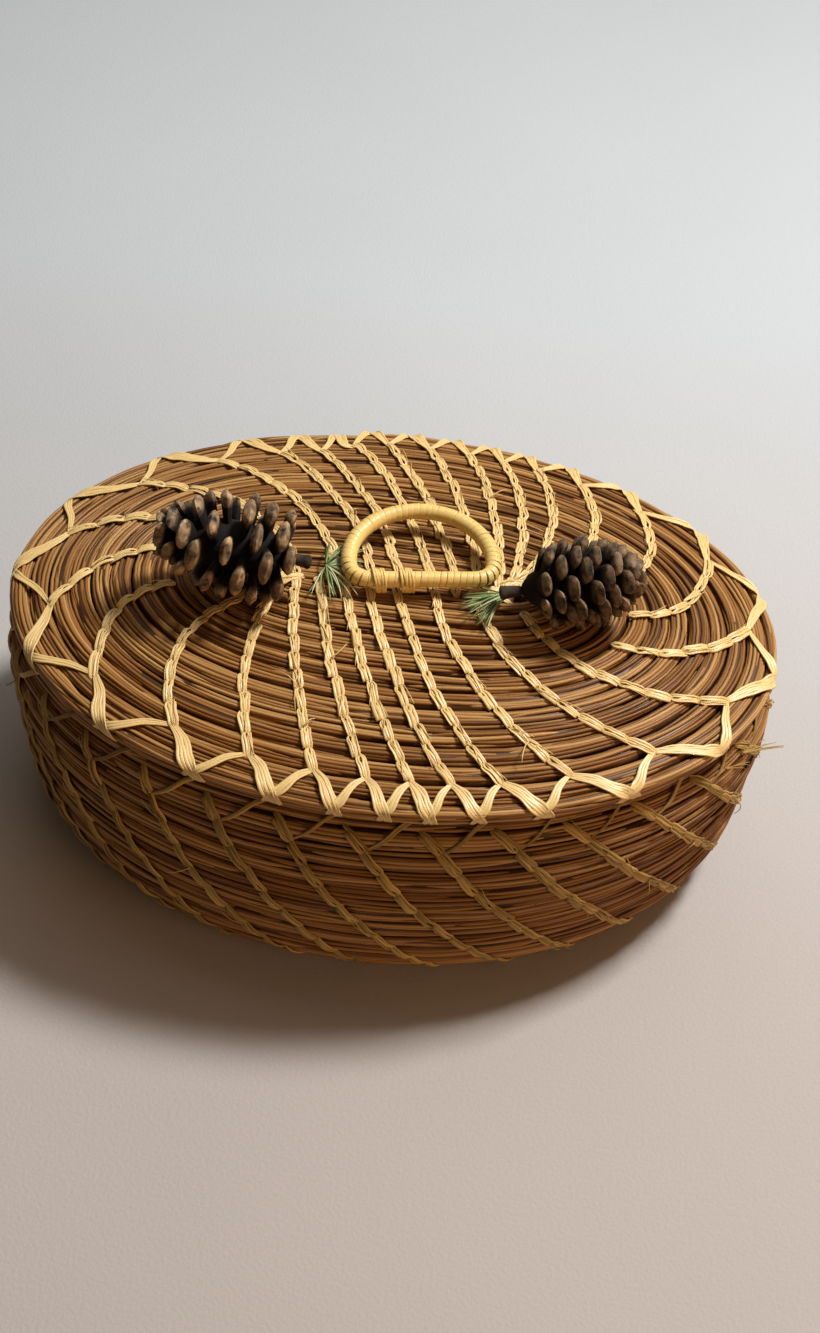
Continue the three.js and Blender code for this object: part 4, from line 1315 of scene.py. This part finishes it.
class BASKET_OT_lid_needles(Operator):
    """Coils the lid's needle bundles and the ledge below them"""

    bl_idname = "basket.lid_needles"
    bl_label = "Lid Needles"

    def execute(self, context):
        sizes = context.scene.coil_sizes
        coil = lid_coil(sizes)
        piece = needle_bundle(coil, FIRST_TURN, coil.end, "lid_needles", SEEDS["lid_needles"])
        finish(piece, shared_material("pine_needles"), "lid", ["lid_coil"])
        ledge = Ledge(sizes, lambda half_width: lid_height(sizes, half_width))
        piece = needle_bundle(ledge, sizes.end_share, ledge.end, "lid_ledge_needles", SEEDS["ledge"])
        finish(piece, shared_material("pine_needles"), "lid", ["lid_ledge_coil"])
        return {"FINISHED"}


class BASKET_OT_basket_stitches(Operator):
    """Sews the basket: chains of stitches up the wall, slanted strands at the mouth, backs inside"""

    bl_idname = "basket.basket_stitches"
    bl_label = "Basket Stitches"

    def execute(self, context):
        sizes = context.scene.raffia_sizes
        random = np.random.default_rng(SEEDS["basket_stitches"])
        coil = basket_coil(context.scene.coil_sizes)
        stitching = basket_stitching(coil, sizes)
        strands = StrandMesh(random)
        for line in range(sizes.basket_lines):
            for step in range(-1, sizes.chain_rows):
                chain_stitch(strands, stitching, line, step, random, sizes)
        mouth_strands(strands, stitching, random, sizes)
        loose_ends(strands, stitching, 14, 4, random)
        for angle, count, length in FRAYED_ENDS:
            frayed_end(strands, stitching, angle, count, length, random)
        piece = strands.build("basket_stitches", lowest=0.0)
        finish(piece, shared_material("old_raffia"), "basket", ["basket_stitching"])
        strands = StrandMesh(random)
        slanted_stitches(strands, stitching, sizes.chain_rows, sizes.back_rows, random, sizes)
        inside = basket_stitching(coil, sizes, face=1)
        slanted_stitches(strands, inside, -1, sizes.back_rows, random, sizes)
        piece = strands.build("basket_stitch_backs", lowest=0.0)
        finish(piece, shared_material("old_raffia"), "basket", ["basket_stitching"])
        return {"FINISHED"}


class BASKET_OT_lid_stitches(Operator):
    """Sews the lid: chains of stitches over the dome, the zigzag round its rim, backs below"""

    bl_idname = "basket.lid_stitches"
    bl_label = "Lid Stitches"

    def execute(self, context):
        sizes = context.scene.raffia_sizes
        random = np.random.default_rng(SEEDS["lid_stitches"])
        coil = lid_coil(context.scene.coil_sizes)
        stitching = lid_stitching(coil, sizes)
        strands = StrandMesh(random)
        for line in range(sizes.lid_lines):
            for step in range(coil.rows - 1):
                turn = stitching.turn(line, step)
                innermost = 5 if abs(cos(turn * tau)) > 0.78 else FIRST_STITCH
                start, end = (stitching.hole(line, row, 0)[0] for row in (step, step - 1))
                if turn > innermost and np.linalg.norm(start - end) < 2 * coil.sizes.pitch:
                    chain_stitch(strands, stitching, line, step, random, sizes)
        rim_zigzag(strands, stitching, random, sizes)
        loose_ends(strands, stitching, 10, 9, random)
        piece = strands.build("lid_stitches")
        finish(piece, shared_material("raffia"), "lid", ["lid_stitching"])
        strands = StrandMesh(random)
        below = lid_stitching(coil, sizes, face=-1)
        slanted_stitches(strands, below, 0, sizes.lid_back_rows, random, sizes)
        piece = strands.build("lid_stitch_backs")
        finish(piece, shared_material("old_raffia"), "lid", ["lid_stitching"])
        return {"FINISHED"}


class BASKET_OT_handle(Operator):
    """Winds the D handle and ties its bar to the lid"""

    bl_idname = "basket.handle"
    bl_label = "Handle and Ties"

    def execute(self, context):
        sizes = context.scene.handle_sizes
        random = np.random.default_rng(SEEDS["handle"])
        ring = StrandMesh(random)
        wrapped_ring(ring, sizes, random)
        piece = ring.build("wrapped_handle")
        raffia = shared_material("handle_raffia")
        finish(piece, raffia, "handle", ["handle_wrap", "handle_core"])
        for name, offset in (("left", sizes.tie_left), ("middle", sizes.tie_middle)):
            strands = StrandMesh(random)
            tie(strands, sizes, offset, random)
            piece = strands.build(f"raffia_tie_{name}")
            finish(piece, raffia, "lid", [f"handle_tie_{name}"])
        return {"FINISHED"}


class BASKET_OT_cones(Operator):
    """Models the two pine cones scale by scale"""

    bl_idname = "basket.cones"
    bl_label = "Pine Cones"

    def execute(self, context):
        sizes = context.scene.cone_sizes
        random = np.random.default_rng(SEEDS["cones"])
        material = cone_material("cone_wood", context.scene.finish_colours)
        for name in ("left", "right"):
            piece = model_cone(name, random, sizes)
            finish(piece, material, "lid", [f"cone_{name}"])
        return {"FINISHED"}


class BASKET_OT_sprigs(Operator):
    """Lays a sprig of green needles at each cone's stem"""

    bl_idname = "basket.sprigs"
    bl_label = "Green Sprigs"

    def execute(self, context):
        sizes = context.scene.sprig_sizes
        random = np.random.default_rng(SEEDS["sprigs"])
        material = strand_material("green_needles", *strand_kinds()["green_needles"])
        for name, (knot, first, last) in SPRIGS.items():
            strands = StrandMesh(random)
            lay_sprig(strands, knot, first, last, sizes, random)
            piece = strands.build(f"green_sprig_{name}")
            finish(piece, material, "lid", [f"sprig_{name}"])
        return {"FINISHED"}


class BASKET_OT_stage(Operator):
    """Sets the floor, the lamps and the camera"""

    bl_idname = "basket.stage"
    bl_label = "Stage"

    def execute(self, context):
        sizes = context.scene.stage_sizes
        bpy.ops.mesh.primitive_plane_add(size=sizes.floor_size)
        floor = context.object
        floor.name = "floor"
        floor.data.materials.append(floor_material(context.scene.finish_colours))
        for lamp in LAMPS:
            add_lamp(*lamp)
        world = context.scene.world or bpy.data.worlds.new("world")
        context.scene.world = world
        world.use_nodes = True
        background = world.node_tree.nodes["Background"]
        background.inputs["Color"].default_value = WORLD_TINT
        background.inputs["Strength"].default_value = WORLD_STRENGTH
        place_camera(sizes)
        context.scene.view_settings.view_transform = "Standard"
        return {"FINISHED"}


def floor_material(colours):
    """A plain pale cloth with faint broad blotches and a fine grain, under painted light: darker and
    warmer in front, paler and cooler behind.
    """
    material, tree, shader = new_material("floor")
    place = add_node(tree, "ShaderNodeTexCoord").outputs["Object"]
    grain = noise(tree, place, 900.0, 2.0)
    both = maths(tree, "ADD", noise(tree, place, 7.0, 2.0), grain)
    shade = maths(tree, "MULTIPLY_ADD", both, 0.08, 0.92)
    # Painted light: the colour runs from the darker, warmer front to the paler, cooler far end.
    behind = add_node(tree, "ShaderNodeSeparateXYZ", inputs={0: place}).outputs["Y"]
    behind = maths(tree, "MULTIPLY_ADD", behind, 3.0, 0.2, clamp=True)
    cloth = blended(tree, behind, opaque(colours.floor), opaque(colours.far_floor_painted_light))
    cloth = add_node(tree, "ShaderNodeVectorMath", operation="SCALE", inputs={0: cloth, "Scale": shade})
    tree.links.new(cloth.outputs[0], shader.inputs["Base Color"])
    shader.inputs["Roughness"].default_value = 0.8
    add_relief(tree, shader, 0.25, 0.0006, grain)
    return material


def add_lamp(name, place, size, power, tint):
    """A square soft lamp that shines at the basket."""
    turned = (LAMP_AIM - Vector(place)).to_track_quat("-Z", "Y").to_euler()
    bpy.ops.object.light_add(type="AREA", location=place, rotation=turned)
    lamp = bpy.context.object
    lamp.name = name
    lamp.data.size = size
    lamp.data.energy = power
    lamp.data.color = tint


def place_camera(sizes):
    turned = Matrix.Rotation(sizes.camera_side_angle, 4, "Z")
    target = turned @ Vector((sizes.target_x, sizes.target_y, sizes.target_z))
    back = turned @ Vector((0, -cos(sizes.camera_height_angle), sin(sizes.camera_height_angle)))
    bpy.ops.object.camera_add(location=target + back * sizes.camera_distance)
    camera = bpy.context.object
    facing = (-back).to_track_quat("-Z", "Y").to_matrix().to_4x4()
    camera.matrix_world = (Matrix.Translation(target + back * sizes.camera_distance) @ facing
                           @ Matrix.Rotation(sizes.camera_roll, 4, "Z"))
    camera.data.lens = camera.data.sensor_width * sizes.focal_pixels / sizes.picture_height
    camera.data.clip_start = 0.01
    bpy.context.scene.camera = camera


class BASKET_PT_panel(Panel):
    """Lists the pieces of the basket"""

    bl_label = "Basket"
    bl_idname = "BASKET_PT_panel"
    bl_space_type = "VIEW_3D"
    bl_region_type = "UI"
    bl_category = "Basket"

    def draw(self, context):
        for operator in OPERATORS:
            self.layout.operator(operator.bl_idname)
        for name, group in GROUPS.items():
            box = self.layout.box()
            box.label(text=name.replace("_", " ").capitalize())
            for key in group.__annotations__:
                box.prop(getattr(context.scene, name), key)


OPERATORS = (
    BASKET_OT_basket_needles, BASKET_OT_lid_needles, BASKET_OT_basket_stitches, BASKET_OT_lid_stitches,
    BASKET_OT_handle, BASKET_OT_cones, BASKET_OT_sprigs, BASKET_OT_stage)


def register():
    for item in (*GROUPS.values(), *OPERATORS, BASKET_PT_panel):
        bpy.utils.register_class(item)
    for name, group in GROUPS.items():
        setattr(bpy.types.Scene, name, PointerProperty(type=group))


def unregister():
    for name in GROUPS:
        delattr(bpy.types.Scene, name)
    for item in reversed((*GROUPS.values(), *OPERATORS, BASKET_PT_panel)):
        bpy.utils.unregister_class(item)


def main():
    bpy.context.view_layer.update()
    register()
    for operator in OPERATORS:
        group, name = operator.bl_idname.split(".")
        getattr(getattr(bpy.ops, group), name)()


if __name__ == "__main__":
    main()
